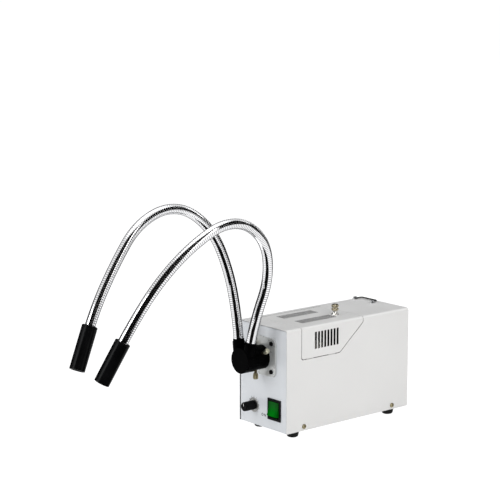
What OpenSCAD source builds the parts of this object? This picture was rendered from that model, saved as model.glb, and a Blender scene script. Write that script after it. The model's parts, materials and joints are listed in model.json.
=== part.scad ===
// Fibre optic illuminator: a sheet-metal lamp house with a clamped light guide
// that splits into two self-supporting gooseneck arms.
// Millimetres. X to the right, Y to the back, Z up, origin on the table under the
// middle of the lamp house.

/* [Housing] */
// Outer width of the lamp house
body_w = 102; // [96:1:116]
// Outer depth of the lamp house, front to back
body_d = 236; // [228:1:256]
// Height of the lamp house without its feet
body_h = 147; // [144:1:165]
// Thickness of the cover's sheet
cover_t = 1.2; // [1:0.1:1.6]
// Radius of the cover's rounded top edges
edge_r = 4; // [3:0.5:8]
// Thickness of the base sheet
base_t = 1.5; // [1.2:0.1:2]
// Height of the base's upturned flanges
flange_h = 14; // [12:1:20]
// Thickness of the front panel
front_t = 2; // [1.5:0.1:3]
// Thickness of the rear panel
rear_t = 1.5; // [1.2:0.1:2]
// How far both panels stand back from the cover's edges
panel_recess = 0.8; // [0.4:0.1:2]
// Gap between a panel and the cover
panel_gap = 0.8; // [0.3:0.1:1.2]

/* [Feet and screws] */
// Height of a rubber foot
foot_h = 10.5; // [8:0.5:14]
// Radius of a rubber foot at its top
foot_r = 9; // [8:0.5:11]
// Distance of the feet from the middle, sideways
foot_x = 35; // [30:1:38]
// Distance of the feet from the middle, front and back
foot_y = 93; // [85:1:98]
// Distance of the cover's screws from the middle, front and back
cover_screw_y = 86; // [75:1:98]
// Height of the cover's screws above the house's bottom edge
cover_screw_z = 6; // [5:0.5:8]
// Radius of the shank of the M4 screws
screw_r = 2; // [1.8:0.1:2.2]
// Radius of a pan head of the M4 screws
screw_head_r = 3.4; // [3.2:0.1:3.8]
// Height of a pan head
screw_head_h = 2; // [1.5:0.1:2.5]

/* [Lamp door] */
// Front edge of the door, from the middle of the house
door_front_y = -91.5; // [-98:0.5:-85]
// Rear edge of the door
door_rear_y = 27; // [20:1:36]
// Left edge of the door on the top
door_left_x = -40; // [-42:0.5:-34]
// Height of the door's side, from the top edge down to its lower edge
door_side_h = 46; // [39:1:51]
// Where the door's lower edge turns up into its slant
door_turn_y = -18.5; // [-22:0.5:-12]
// Drop from the top edge to where the slant meets the rear edge
door_slant_drop = 8; // [5:1:15]
// Radius of the door's lower corners
door_corner_r = 4; // [2:0.5:6]
// Radius of the corner between the slant and the rear edge
door_slant_r = 7; // [3:0.5:9]
// Groove left open all round the door
door_gap = 1; // [0.6:0.1:1.4]
// Number of vertical vents in the side of the door
side_vents = 8; // [4:1:9]
// Spacing of the side vents
side_vent_pitch = 5.9; // [5.5:0.1:6.2]
// Width of a side vent
side_vent_w = 3.4; // [2:0.1:3.6]
// Height of a side vent
side_vent_h = 23.6; // [18:0.2:25]
// Number of cross slots in each bank on the top of the door
top_vents = 22; // [8:1:23]
// Spacing of the top slots
top_vent_pitch = 3; // [2.8:0.1:3.2]
// Width of a top slot
top_vent_w = 1.6; // [1:0.1:2]
// Length of a top slot
top_vent_len = 18; // [12:1:20]
// Distance of each bank from the middle
top_vent_x = 19.5; // [16:0.5:22]
// Place of the door's screw, sideways
door_screw_x = 16; // [8:1:24]
// Place of the door's screw, front to back
door_screw_y = 4; // [2:1:10]
// Radius of the door screw's knurled head
door_head_r = 5.3; // [4.5:0.1:6]
// Height of the door screw's knurled head
door_head_h = 9; // [6:0.5:11]
// Height of the flared post that the head stands on
door_post_h = 6.4; // [5:0.2:9]

/* [Light port] */
// Height of the port's axis above the house's bottom edge
port_h = 102; // [98:1:106]
// Width of the port's flange
port_flange_w = 56; // [54:1:66]
// Height of the port's flange
port_flange_h = 55; // [53:1:64]
// Thickness of the port's flange
port_flange_t = 2.5; // [2:0.1:3.5]
// Radius of the flange's corners
port_flange_r = 8; // [4:0.5:10]
// How far the flange's middle stands above the port's axis
port_flange_up = 1.5; // [0:0.1:2]
// Distance of the flange's screws from its middle, sideways and up
port_screw_d = 20; // [19.5:0.1:22]
// Outer radius of the collar
collar_r = 17; // [16:0.5:18]
// Length of the collar in front of the flange
collar_len = 22; // [20:0.5:26]
// Radius of the collar's spigot through the flange and the panel
spigot_r = 15; // [14:0.5:15.5]
// Radius of the ferrule that plugs into the collar
ferrule_r = 12.5; // [11:0.5:13]
// How far behind the front panel's face the ferrule reaches
ferrule_in = 13; // [8:1:20]
// Radius of the common bundle in the ferrule
bundle_r = 7; // [5:0.5:8]
// Distance of the three clamp screws in front of the flange
clamp_y = 11.5; // [8:0.5:14]
// Radius of a clamp screw's stud
stud_r = 2; // [1.6:0.1:2.4]
// Bare length of stud between the collar and the knurled head
stud_bare = 5; // [3.5:0.5:8]
// Radius of a clamp screw's knurled head
clamp_head_r = 3.6; // [3:0.1:4.5]
// Length of a clamp screw's knurled head
clamp_head_len = 8.5; // [6:0.5:11]

/* [Splitter] */
// Radius of the splitter's round body
splitter_r = 18; // [17:0.5:20]
// Length of the splitter's round body
splitter_len = 18.2; // [18:0.1:22]
// Distance of each hose from the middle, at the top of its sleeve
sleeve_x = 13.5; // [12.5:0.5:16]
// Height of the sleeves' tops above the port's axis
sleeve_up = 28; // [26:1:34]
// Distance of the sleeves behind the splitter's front face
sleeve_back = 9.5; // [9.3:0.1:10]
// Outer radius of a sleeve
sleeve_r = 7.9; // [7.8:0.1:8.4]
// Wall of the splitter's boss round a sleeve
boss_wall = 0.9; // [0.8:0.1:2]
// Length of a sleeve
sleeve_len = 16; // [12:1:17]
// Length of a sleeve that stands out of its boss
sleeve_proud = 3.5; // [2:0.5:6]

/* [Arms] */
// Sideways lean of the left arm
left_lean = -6; // [-10:1:-4]
// Sideways lean of the right arm
right_lean = 14; // [10:1:18]
// Length of one of the seven arcs of an arm
arc_len = 65; // [60:1:70]
// Turn of each arc of the left arm, in degrees
left_turns = [8, 14, 34, 50, 34, 6, 9];
// Turn of each arc of the right arm, in degrees
right_turns = [-12, 33, 43, 54, 17, 14, 6];
// Outer radius of the hose
hose_r = 7; // [6.4:0.1:7]
// Depth of the grooves between the hose's ribs
rib_depth = 0.8; // [0.5:0.1:1.2]
// Spacing of the hose's ribs
rib_pitch = 4.9; // [4.7:0.1:6]
// Radius of the hose's bore
hose_bore_r = 4; // [3.5:0.1:4]
// Place of the sideways bend along the hose, from the sleeve
swing_s = 30; // [26:1:40]
// Place of the lifting bend along the hose
lift_s = 120; // [100:1:150]
// Place of the aiming bend along the hose
aim_s = 385; // [360:1:400]
// Radius of the rounded end inside a bend
ball_r = 5.2; // [5:0.1:5.3]
// Clearance between the rounded end and its cup
ball_gap = 0.8; // [0.8:0.05:0.9]

/* [Heads] */
// Outer radius of a head
head_r = 10.5; // [9.5:0.1:10.6]
// Length of a head in front of the hose's end
head_len = 50; // [44:1:60]
// Length of the head that grips the hose
head_grip = 10; // [8:1:14]
// Radius of the fibre face at a head's tip
tip_r = 4; // [3:0.1:4.5]

/* [Controls] */
// Place of the dimmer, sideways
dimmer_x = -20; // [-28:1:-16]
// Height of the dimmer above the house's bottom edge
dimmer_h = 28; // [22:1:34]
// Radius of the dimmer's knob
knob_r = 6.7; // [6:0.1:8.5]
// Length of the dimmer's knob
knob_len = 17.5; // [12:0.5:20]
// Radius of the nickel ring round the knob
dial_r = 10.4; // [9:0.1:11]
// Radius of the dimmer's shaft
shaft_r = 3; // [2.5:0.1:3.2]
// Place of the switch, sideways
switch_x = 24.5; // [20:0.5:28]
// Height of the switch's middle above the house's bottom edge
switch_h = 29.7; // [26:0.5:36]
// Width of the switch's bezel
bezel_w = 27; // [26:0.5:30]
// Height of the switch's bezel
bezel_h = 30.5; // [29:0.5:34]
// Width of the rocker
rocker_w = 20; // [16:0.5:20]
// Half of the rocker's height
rocker_half = 10.2; // [9:0.1:10.4]
// Tilt of the rocker either side of its middle
rocker_tilt = 10; // [8:1:12]

/* [Rear] */
// Width of the fan's frame
fan_w = 80; // [76:1:80]
// Depth of the fan's frame
fan_d = 25; // [20:1:32]
// Gap between the fan's frame and the roof
fan_under = 3.8; // [3:0.2:8]
// Place of the power inlet, sideways
inlet_x = 22; // [0:1:24]
// Height of the power inlet above the house's bottom edge
inlet_h = 30; // [24:1:34]
// Width of the inlet's flange
inlet_w = 32; // [31:0.5:36]
// Half of the inlet's flange between its middle and its upper edge
inlet_over = 14; // [13:0.5:16]
// Half of the inlet's flange between its middle and its lower edge
inlet_under = 19; // [18:0.5:21]
// Depth of the connector's well
inlet_deep = 16; // [15:0.5:18]
// Place of the small wire handle's middle on the top, sideways
handle_x = -25; // [-26:0.5:-18]
// Distance between the handle's legs
handle_w = 33; // [24:1:34]
// Length of the handle's legs
handle_len = 12; // [9:0.5:13]
// Distance of the handle's pivots from the rear edge
handle_back = 18; // [14:0.5:22]
// Radius of the handle's wire
handle_r = 1.1; // [0.8:0.1:1.4]

/* [Inside] */
// Height of the heat shield above the house's bottom edge
shield_h = 72; // [70:1:74]
// Thickness of the heat shield
shield_t = 1.2; // [1:0.1:1.6]
// Radius of the lamp's reflector
lamp_r = 25; // [22:0.5:25]
// Gap between the front panel and the lamp's reflector
lamp_gap = 51; // [45:1:55]
// Depth of the lamp's reflector
lamp_d = 36; // [30:1:40]
// Width of the transformer's core
core_w = 76; // [66:1:78]
// Height of the transformer's core
core_h = 62; // [56:1:64]
// Depth of the transformer's core
core_d = 40; // [34:1:44]
// Gap between the transformer's core and the fan
core_gap = 32; // [26:1:40]
// Width of the circuit board
board_w = 72; // [60:1:80]
// Depth of the circuit board
board_d = 56; // [50:1:60]
// Gap between the front panel and the circuit board
board_gap = 33; // [29:1:37]
// Height of the board's posts
board_up = 8; // [6:0.5:10]

/* [Hidden] */
$fn = 48;

fit = 0.05;
loose = 0.15;
floor_z = foot_h;
top_z = floor_z + body_h;
roof_z = top_z - cover_t;
half_w = body_w / 2;
half_d = body_d / 2;
inner_w = half_w - cover_t;
front_y = -half_d + panel_recess;
front_back_y = front_y + front_t;
rear_y = half_d - panel_recess;
rear_back_y = rear_y - rear_t;
boss_tail = 12;
lip_w = 6;
lip_t = 1;
lip_root = cover_t / 2;
door_low_z = top_z - door_side_h;
foot_screw_z = 5;

port_z = floor_z + port_h;
flange_z = port_z + port_flange_up;
flange_y = front_y - port_flange_t;
collar_y = flange_y - collar_len;
splitter_gap = 0.3;
splitter_y = collar_y - splitter_gap;
splitter_front = splitter_y - splitter_len;
ferrule_seat = 8;
ferrule_y0 = splitter_y - ferrule_seat;
ferrule_y1 = front_y + ferrule_in;
clamp_plane = flange_y - clamp_y;
// straight down, and 30 degrees above the level on either side
clamp_angles = [180, 60, -60];
sleeve_y = splitter_front + sleeve_back;
sleeve_z = port_z + sleeve_up;
stud_in = ferrule_r + loose;
stud_out = collar_r + stud_bare;
head_bite = 4.5;

arm_len = arc_len * len(left_turns);
hose_start = -12;
cup_rim = 1.8;
neck = 3.2;

dimmer_z = floor_z + dimmer_h;
switch_z = floor_z + switch_h;
rocker_pivot = 4.5;
rocker_cavity = rocker_half + 1.8;
rocker_axle_r = 1.5;
bezel_t = 1.8;
bezel_rim = 2;
bezel_deep = 20;
bush_r = shaft_r + 0.8;
ring_t = 1.2;
knob_gap = 2;
fan_z = roof_z - fan_under - fan_w / 2;
fan_y = rear_back_y - fan_d;
// an 80 mm fan has its holes 71.5 mm apart
fan_hole_d = 71.5 / 80 * fan_w / 2;
duct_r = fan_w / 2 - 2;
fan_pin_r = 1.5;
hub_t = 3;
guard_t = 1.6;
inlet_z = floor_z + inlet_h;
inlet_rim = 2.3;
pin_w = 2;
pin_h = 4;
pin_step = 7;
pin_drop = 2.8;
pin_len = 26;
drawer_w = 20;
drawer_d = 18;
drawer_low = 15;
drawer_high = 8.5;
handle_y = half_d - handle_back;
handle_z = top_z + handle_r + 0.8;
ear_t = 1.6;
ear_half = 3;
ear_gap = 0.3;
ear_tab = 3.5;
shield_z = floor_z + shield_h;
shield_top = shield_z + shield_t;
shield_slot_w = 12;
shield_slot_l = 30;
shield_slot_in = 8;
shield_slot_back = 50.7;
lamp_y = front_back_y + lamp_gap;
lamp_end = lamp_y + lamp_d;
lamp_neck_r = 8;
capsule_r = 5;
contact_x = 3.2;
contact_r = 0.5;
contact_len = 7;
socket_d = 14;
sheet_t = 1.5;
leg_w = core_w / 6;
core_z = floor_z + base_t;
core_y = fan_y - core_gap - core_d / 2;
board_y = front_back_y + board_gap + board_d / 2;
board_z = floor_z + base_t + board_up;
board_t = 1.6;
post_r = 3;
post_in = 4;

// ---- shared shapes ----

// points of an arc round [cx, cy] from angle a to angle b
function arc(cx, cy, r, a, b, n = 8) =
    [for (i = [0:n]) [cx + r * cos(a + (b - a) * i / n), cy + r * sin(a + (b - a) * i / n)]];

// a rectangle about the origin with all corners rounded
function plate(w, h, r) = concat(
    arc(w / 2 - r, h / 2 - r, r, 0, 90), arc(r - w / 2, h / 2 - r, r, 90, 180),
    arc(r - w / 2, r - h / 2, r, 180, 270), arc(w / 2 - r, r - h / 2, r, 270, 360));

// the outline of the house from its lower right corner round to its lower left one
function arch(w, low, high, r) = concat([[w, low]], arc(w - r, high - r, r, 0, 90),
    arc(r - w, high - r, r, 90, 180), [[-w, low]]);

function backwards(list) = [for (i = [len(list) - 1:-1:0]) list[i]];

// an outline with its corner number i rounded to the radius radii[i]
function eased(outline, radii) =
    [for (i = [0:len(outline) - 1]) each corner(outline[i], radii[i],
        outline[(i + len(outline) - 1) % len(outline)], outline[(i + 1) % len(outline)])];

// the corner at p, between the points before and after it, rounded to the radius r
function corner(p, r, before, after) =
    let (u = (before - p) / norm(before - p), v = (after - p) / norm(after - p))
    let (half = acos(u * v) / 2, middle = p + (u + v) / norm(u + v) * r / sin(half))
    let (first = p + u * r / tan(half) - middle, last = p + v * r / tan(half) - middle)
    let (a = atan2(first[1], first[0]), sweep = (atan2(last[1], last[0]) - a + 540) % 360 - 180)
    r <= 0 ? [p] : arc(middle[0], middle[1], r, a, a + sweep, 6);

// a flat outline in X and Z, drawn out along Y
module slab_y(y0, y1) {
    translate([0, y1, 0])
        rotate([90, 0, 0])
            linear_extrude(y1 - y0)
                children();
}

// a flat outline in Y and Z, drawn out along X
module slab_x(x0, x1) {
    translate([x0, 0, 0])
        rotate([90, 0, 90])
            linear_extrude(x1 - x0)
                children();
}

module box(x0, x1, y0, y1, z0, z1) {
    translate([x0, y0, z0])
        cube([x1 - x0, y1 - y0, z1 - z0]);
}

module rod_x(r, x0, x1, y, z) {
    translate([x0, y, z])
        rotate([0, 90, 0])
            cylinder(r = r, h = x1 - x0);
}

module rod_y(r, y0, y1, x, z) {
    translate([x, y1, z])
        rotate([90, 0, 0])
            cylinder(r = r, h = y1 - y0);
}

module rod_z(r, z0, z1, x, y) {
    translate([x, y, z0])
        cylinder(r = r, h = z1 - z0);
}

// ---- housing ----

module foot_places() {
    for (x = [-foot_x, foot_x], y = [-foot_y, foot_y])
        translate([x, y, 0])
            children();
}

module base_chassis() {
    side = inner_w - fit;
    color("silver")
        difference() {
            union() {
                box(-side, side, front_back_y, rear_back_y, floor_z, floor_z + base_t);
                for (x = [-side, side - base_t])
                    box(x, x + base_t, front_back_y, rear_back_y, floor_z, floor_z + flange_h);
                box(-side, side, front_back_y, front_back_y + base_t, floor_z,
                    floor_z + flange_h);
                box(-side, side, rear_back_y - base_t, rear_back_y, floor_z,
                    floor_z + flange_h);
            }
            foot_places()
                rod_z(screw_r + loose, floor_z - 1, floor_z + base_t + 1, 0, 0);
            for (y = [-cover_screw_y, cover_screw_y])
                rod_x(screw_r + fit, -half_w, half_w, y, floor_z + cover_screw_z);
            inlet_opening(rear_back_y - base_t - 1, rear_back_y + 1);
        }
}

// the hole that the power inlet's body passes through
module inlet_opening(y0, y1) {
    box(inlet_x - inlet_w / 2 + 2, inlet_x + inlet_w / 2 - 2, y0, y1,
        inlet_z - inlet_under + 2, inlet_z + inlet_over - 2);
}

module panel_outline() {
    polygon(arch(inner_w - panel_gap, floor_z, roof_z - panel_gap, edge_r - cover_t));
}

module front_panel() {
    color("aliceblue")
        difference() {
            slab_y(front_y, front_back_y)
                panel_outline();
            rod_y(spigot_r + fit, front_y - 1, front_back_y + 1, 0, port_z);
            port_screw_holes(front_y - 1, front_back_y + 1);
            rod_y(bush_r + fit, front_y - 1, front_back_y + 1, dimmer_x, dimmer_z);
            box(switch_x - bezel_w / 2 + bezel_rim - 0.2, switch_x + bezel_w / 2 - bezel_rim + 0.2,
                front_y - 1, front_back_y + 1,
                switch_z - bezel_h / 2 + bezel_rim - 0.6, switch_z + bezel_h / 2 - bezel_rim + 0.6);
        }
}

module port_screw_holes(y0, y1) {
    for (x = [-port_screw_d, port_screw_d], z = [-port_screw_d, port_screw_d])
        rod_y(screw_r + fit, y0, y1, x, flange_z + z);
}

module rear_panel() {
    color("whitesmoke")
        difference() {
            slab_y(rear_back_y, rear_y)
                panel_outline();
            rod_y(duct_r - 0.5, rear_back_y - 1, rear_y + 1, 0, fan_z);
            for (x = [-fan_hole_d, fan_hole_d], z = [-fan_hole_d, fan_hole_d])
                rod_y(screw_r + fit, rear_back_y - 1, rear_y + 1, x, fan_z + z);
            inlet_opening(rear_back_y - 1, rear_y + 1);
        }
}

// the bent sheet that the cover and the lamp door are both cut from
module shell() {
    slab_y(-half_d, half_d)
        polygon(concat(arch(half_w, floor_z, top_z, edge_r),
            backwards(arch(inner_w, floor_z, roof_z, edge_r - cover_t))));
}

// the door's outline on the side, drawn in by g all round
function door_side(g) =
    let (low = door_low_z, high = top_z - door_slant_drop)
    let (run = door_rear_y - door_turn_y, rise = high - low)
    let (slope = rise / run, shift = g * norm([run, rise]) / run)
    eased([[door_front_y + g, top_z + 1], [door_front_y + g, low + g],
        [door_turn_y + (g - shift) / slope, low + g],
        [door_rear_y - g, high + shift - g * slope], [door_rear_y - g, top_z + 1]],
        [0, door_corner_r - g, door_corner_r - g, door_slant_r - g, 0]);

// everything that belongs to the door, drawn in by g all round
module door_zone(g) {
    slab_x(0, half_w + 1)
        polygon(door_side(g));
    box(door_left_x + g, 1, door_front_y + g, door_rear_y - g, roof_z - lip_t, top_z + 1);
}

module housing_cover() {
    tongue_w = 12;
    color("gainsboro")
        difference() {
            union() {
                difference() {
                    shell();
                    door_zone(0);
                }
                for (y = [door_front_y, door_rear_y])
                    box(door_left_x - lip_w, inner_w - edge_r, y - lip_w, y + lip_w,
                        roof_z - lip_t, roof_z);
                for (y = [door_front_y - lip_w, door_rear_y])
                    box(door_left_x - lip_w, inner_w - edge_r, y, y + lip_w,
                        roof_z - lip_t, roof_z + lip_root);
                box(door_screw_x - tongue_w / 2, door_screw_x + tongue_w / 2,
                    door_screw_y - lip_w, door_rear_y, roof_z - lip_t, roof_z);
            }
            rod_z(screw_r + fit, roof_z - lip_t - 1, roof_z + 1, door_screw_x, door_screw_y);
            for (y = [-cover_screw_y, cover_screw_y])
                rod_x(screw_r + fit, -half_w - 1, half_w + 1, y, floor_z + cover_screw_z);
        }
}

module cover_screws() {
    shank = 4;
    color("burlywood")
        for (side = [0, 1], y = [-cover_screw_y, cover_screw_y])
            mirror([side, 0, 0])
                translate([0, y, floor_z + cover_screw_z]) {
                    rod_x(screw_head_r, half_w, half_w + screw_head_h, 0, 0);
                    rod_x(screw_r, half_w - shank, half_w, 0, 0);
                }
}

module rubber_feet() {
    color([0.07, 0.07, 0.07])
        foot_places()
            rotate_extrude()
                polygon([[screw_r + loose, foot_screw_z], [screw_head_r + 1, foot_screw_z],
                    [screw_head_r + 1, 0], [foot_r - 3, 0], [foot_r - 1.2, 1],
                    [foot_r, foot_h - 4],
                    [foot_r, foot_h], [screw_r + loose, foot_h]]);
}

module foot_screws() {
    color("silver")
        foot_places() {
            rod_z(screw_head_r, foot_screw_z - screw_head_h, foot_screw_z, 0, 0);
            rod_z(screw_r, foot_screw_z, floor_z + base_t + 2, 0, 0);
        }
}

// ---- lamp door ----

module lamp_door() {
    bank = (top_vents - 1) * top_vent_pitch;
    row = (side_vents - 1) * side_vent_pitch;
    bank_y = door_screw_y - 9 - bank;
    row_y = -44 - row / 2;
    vent_z = top_z - 9.3 - side_vent_h;
    tab_x = inner_w - 0.3;
    low = door_low_z;
    color("gainsboro")
        difference() {
            union() {
                intersection() {
                    shell();
                    door_zone(door_gap);
                }
                for (y = [door_front_y + 12, door_turn_y - 20]) {
                    box(tab_x - cover_t, tab_x, y, y + 12, low - 7, low + 7);
                    box(tab_x - 0.1, inner_w + 0.1, y, y + 12, low + door_gap + 0.5, low + 7);
                }
            }
            for (i = [0:side_vents - 1])
                translate([0, row_y + i * side_vent_pitch, vent_z])
                    box(half_w - 6, half_w + 1, -side_vent_w / 2, side_vent_w / 2,
                        0, side_vent_h);
            for (x = [-top_vent_x, top_vent_x], i = [0:top_vents - 1])
                translate([x, bank_y + i * top_vent_pitch, roof_z])
                    box(-top_vent_len / 2, top_vent_len / 2, -top_vent_w / 2, top_vent_w / 2,
                        -1, cover_t + 1);
            rod_z(screw_r + 1, roof_z - 1, top_z + 1, door_screw_x, door_screw_y);
        }
}

module door_post() {
    color("silver")
        translate([door_screw_x, door_screw_y, top_z])
            rotate_extrude()
                polygon([[screw_r + fit, 0], [door_head_r + 0.2, 0], [door_head_r + 0.2, 0.8],
                    [door_head_r - 1.5, 2.2], [door_head_r - 2.1, door_post_h - 3],
                    [door_head_r - 1.3, door_post_h - 2], [door_head_r - 1.3, door_post_h],
                    [screw_r + fit, door_post_h]]);
}

module door_screw() {
    z = top_z + door_post_h;
    color("darkkhaki") {
        rod_z(door_head_r, z, z + door_head_h, door_screw_x, door_screw_y);
        rod_z(screw_r, roof_z - lip_t - 3, z, door_screw_x, door_screw_y);
    }
}

// ---- light port ----

module port_flange() {
    color("lightgray")
        difference() {
            translate([0, 0, flange_z])
                slab_y(flange_y, front_y)
                    polygon(plate(port_flange_w, port_flange_h, port_flange_r));
            rod_y(spigot_r + fit, flange_y - 1, front_y + 1, 0, port_z);
            port_screw_holes(flange_y - 1, front_y + 1);
        }
}

module flange_screws() {
    color([0.1, 0.1, 0.1])
        for (x = [-port_screw_d, port_screw_d], z = [-port_screw_d, port_screw_d]) {
            rod_y(screw_head_r - 0.1, flange_y - screw_head_h, flange_y, x, flange_z + z);
            rod_y(screw_r, flange_y, front_back_y + 2, x, flange_z + z);
        }
}

// turns a radial clamp screw, drawn along +Z, to its place on the collar
module on_collar(angle) {
    translate([0, clamp_plane, port_z])
        rotate([0, angle, 0])
            children();
}

module port_collar() {
    color([0.06, 0.06, 0.06])
        difference() {
            union() {
                rod_y(collar_r, collar_y, flange_y, 0, port_z);
                rod_y(spigot_r, flange_y - 1, front_back_y + 3, 0, port_z);
            }
            rod_y(ferrule_r + fit, collar_y - 1, front_back_y + 4, 0, port_z);
            for (angle = clamp_angles)
                on_collar(angle)
                    rod_z(stud_r + fit, ferrule_r - 3, collar_r + 1, 0, 0);
        }
}

module clamp_stud(angle) {
    color("goldenrod")
        on_collar(angle)
            rod_z(stud_r, stud_in, stud_out + head_bite - 0.3, 0, 0);
}

module clamp_head(angle) {
    color("tan")
        on_collar(angle)
            difference() {
                rod_z(clamp_head_r, stud_out, stud_out + clamp_head_len, 0, 0);
                rod_z(stud_r + fit, stud_out - 1, stud_out + head_bite, 0, 0);
            }
}

module clamp_stud_lower() { clamp_stud(clamp_angles[0]); }
module clamp_stud_right() { clamp_stud(clamp_angles[1]); }
module clamp_stud_left() { clamp_stud(clamp_angles[2]); }
module clamp_head_lower() { clamp_head(clamp_angles[0]); }
module clamp_head_right() { clamp_head(clamp_angles[1]); }
module clamp_head_left() { clamp_head(clamp_angles[2]); }

// ---- light guide ----

module ferrule() {
    color("silver")
        difference() {
            rod_y(ferrule_r, ferrule_y0, ferrule_y1, 0, port_z);
            rod_y(bundle_r + fit, ferrule_y0 - 1, ferrule_y1 + 1, 0, port_z);
        }
}

module fibre_bundle() {
    color("ghostwhite")
        rod_y(bundle_r, ferrule_y0, ferrule_y1 - 0.2, 0, port_z);
}

// puts an arm, drawn upwards from the origin, on its sleeve
module on_sleeve(side, lean) {
    translate([side * sleeve_x, sleeve_y, sleeve_z])
        rotate([0, lean, 0])
            children();
}

// each sleeve's place in turn
module both_sleeves() {
    on_sleeve(-1, left_lean)
        children();
    on_sleeve(1, right_lean)
        children();
}

module splitter_block() {
    foot = -sleeve_len - boss_tail;
    boss_r = sleeve_r + boss_wall;
    color([0.05, 0.05, 0.05])
        difference() {
            union() {
                rod_y(splitter_r, splitter_front, splitter_y, 0, port_z);
                intersection() {
                    both_sleeves() {
                        rod_z(boss_r, -sleeve_len, -sleeve_proud, 0, 0);
                        translate([0, 0, foot])
                            cylinder(r1 = sleeve_r - 1.5, r2 = boss_r, h = -sleeve_len - foot);
                    }
                    box(-half_w, half_w, splitter_front, splitter_y, port_z - 6, sleeve_z);
                }
            }
            rod_y(ferrule_r + fit, ferrule_y0, splitter_y + 1, 0, port_z);
            both_sleeves() {
                rod_z(sleeve_r + fit, -sleeve_len, 1, 0, 0);
                rod_z(hose_bore_r, -sleeve_len - 6, 0, 0, 0);
            }
        }
}

module hose_sleeves() {
    color([0.05, 0.05, 0.05])
        both_sleeves()
            difference() {
                rod_z(sleeve_r, -sleeve_len, 0, 0, 0);
                rod_z(hose_r + fit, hose_start - 0.3, 1, 0, 0);
                rod_z(hose_bore_r, -sleeve_len - 1, 0, 0, 0);
            }
}

// turn of an arm up to its arc number n, and the part of arc n that s covers
function arcs_before(s) = min(len(left_turns) - 1, max(0, floor(s / arc_len)));
function turned(turns, n) = n <= 0 ? 0 : turned(turns, n - 1) + turns[n - 1];
function heading(turns, s) =
    let (n = arcs_before(s), part = s < 0 ? 0 : s > arm_len ? arc_len : s - n * arc_len)
    turned(turns, n) + turns[n] * part / arc_len;

// step along one arc: from heading a through turn b over length d, as [forward, up]
function step(a, b, d) = abs(b) < 0.01 ? d * [sin(a), cos(a)]
    : d * 180 / (PI * b) * [cos(a) - cos(a + b), sin(a + b) - sin(a)];
function start_of(turns, n) = n <= 0 ? [0, 0]
    : start_of(turns, n - 1) + step(turned(turns, n - 1), turns[n - 1], arc_len);
function reach(turns, s) =
    s < 0 ? [0, s]
    : s > arm_len ? reach(turns, arm_len) + (s - arm_len) * [sin(heading(turns, s)),
        cos(heading(turns, s))]
    : let (n = arcs_before(s), part = s - n * arc_len)
        start_of(turns, n) + step(turned(turns, n), turns[n] * part / arc_len, part);

// a ring of eight points round the arm's line at s, of radius r
sides = 8;
function ring(turns, s, r) =
    let (at = reach(turns, s), h = heading(turns, s))
    [for (j = [0:sides - 1]) let (a = 360 * j / sides)
        [r * cos(a), -at[0] + r * sin(a) * cos(h), at[1] + r * sin(a) * sin(h)]];

// one stretch of ribbed hose, as rings [s, r] that run out along its outside and back
// through its bore; begin and end say whether a bend is there
function outside(s0, s1) =
    let (count = max(1, round((s1 - s0) / rib_pitch)), pitch = (s1 - s0) / count)
    [for (i = [0:count - 1]) each
        [[s0 + i * pitch, hose_r - rib_depth], [s0 + (i + 0.5) * pitch, hose_r]]];
function ball_end(s) = [[s - neck - 0.2, hose_r - rib_depth], [s - neck, ball_r], [s, ball_r],
    [s + ball_r * cos(70), ball_r * sin(70)],
    [s + sqrt(ball_r * ball_r - hose_bore_r * hose_bore_r), hose_bore_r]];
function cup_end(s) =
    let (r = ball_r + ball_gap)
    [[s + sqrt(r * r - hose_bore_r * hose_bore_r), hose_bore_r],
        [s + cup_rim, sqrt(r * r - cup_rim * cup_rim)], [s + cup_rim, hose_r]];
function bore(s0, s1) =
    let (count = max(1, round((s1 - s0) / 16)))
    [for (i = [1:count - 1]) [s1 - (s1 - s0) * i / count, hose_bore_r]];
function stretch(s0, s1, begin, end) =
    let (a = begin ? s0 + cup_rim + 1 : s0, b = end ? s1 - neck - 0.2 : s1)
    concat(begin ? cup_end(s0) : [[s0, hose_bore_r]], outside(a, b),
        end ? ball_end(s1) : [[s1, hose_r - rib_depth], [s1, hose_bore_r]],
        bore(s0 + 6, s1 - 2));

module hose(turns, rings) {
    count = len(rings);
    points = [for (k = rings) each ring(turns, k[0], k[1])];
    faces = [for (k = [0:count - 1], j = [0:sides - 1])
        let (a = k * sides + j, b = k * sides + (j + 1) % sides)
        let (c = (k + 1) % count * sides + j, d = (k + 1) % count * sides + (j + 1) % sides)
        each [[a, b, d], [a, d, c]]];
    color("silver")
        polyhedron(points, faces, convexity = 10);
}

module left_hose(s0, s1, begin, end) {
    on_sleeve(-1, left_lean)
        hose(left_turns, stretch(s0, s1, begin, end));
}

module right_hose(s0, s1, begin, end) {
    on_sleeve(1, right_lean)
        hose(right_turns, stretch(s0, s1, begin, end));
}

module left_hose_root() { left_hose(hose_start, swing_s, false, true); }
module left_hose_rise() { left_hose(swing_s, lift_s, true, true); }
module left_hose_arch() { left_hose(lift_s, aim_s, true, true); }
module left_hose_end() { left_hose(aim_s, arm_len, true, false); }
module right_hose_root() { right_hose(hose_start, swing_s, false, true); }
module right_hose_rise() { right_hose(swing_s, lift_s, true, true); }
module right_hose_arch() { right_hose(lift_s, aim_s, true, true); }
module right_hose_end() { right_hose(aim_s, arm_len, true, false); }

// puts a head, drawn upwards from the hose's end, on its arm
module on_arm(side, lean, turns) {
    at = reach(turns, arm_len);
    on_sleeve(side, lean)
        translate([0, -at[0], at[1]])
            rotate([heading(turns, arm_len), 0, 0])
                children();
}

module head() {
    nose = 1.5;
    color([0.03, 0.03, 0.03])
        rotate_extrude()
            polygon([[hose_r + fit, -head_grip], [head_r - 0.8, -head_grip],
                [head_r, 0.8 - head_grip], [head_r, head_len - 0.6],
                [head_r - 0.6, head_len], [head_r - nose, head_len],
                [head_r - nose - 1, head_len - nose], [tip_r + fit, head_len - nose],
                [tip_r + fit, 0.3], [hose_r + fit, 0.3]]);
}

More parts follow.
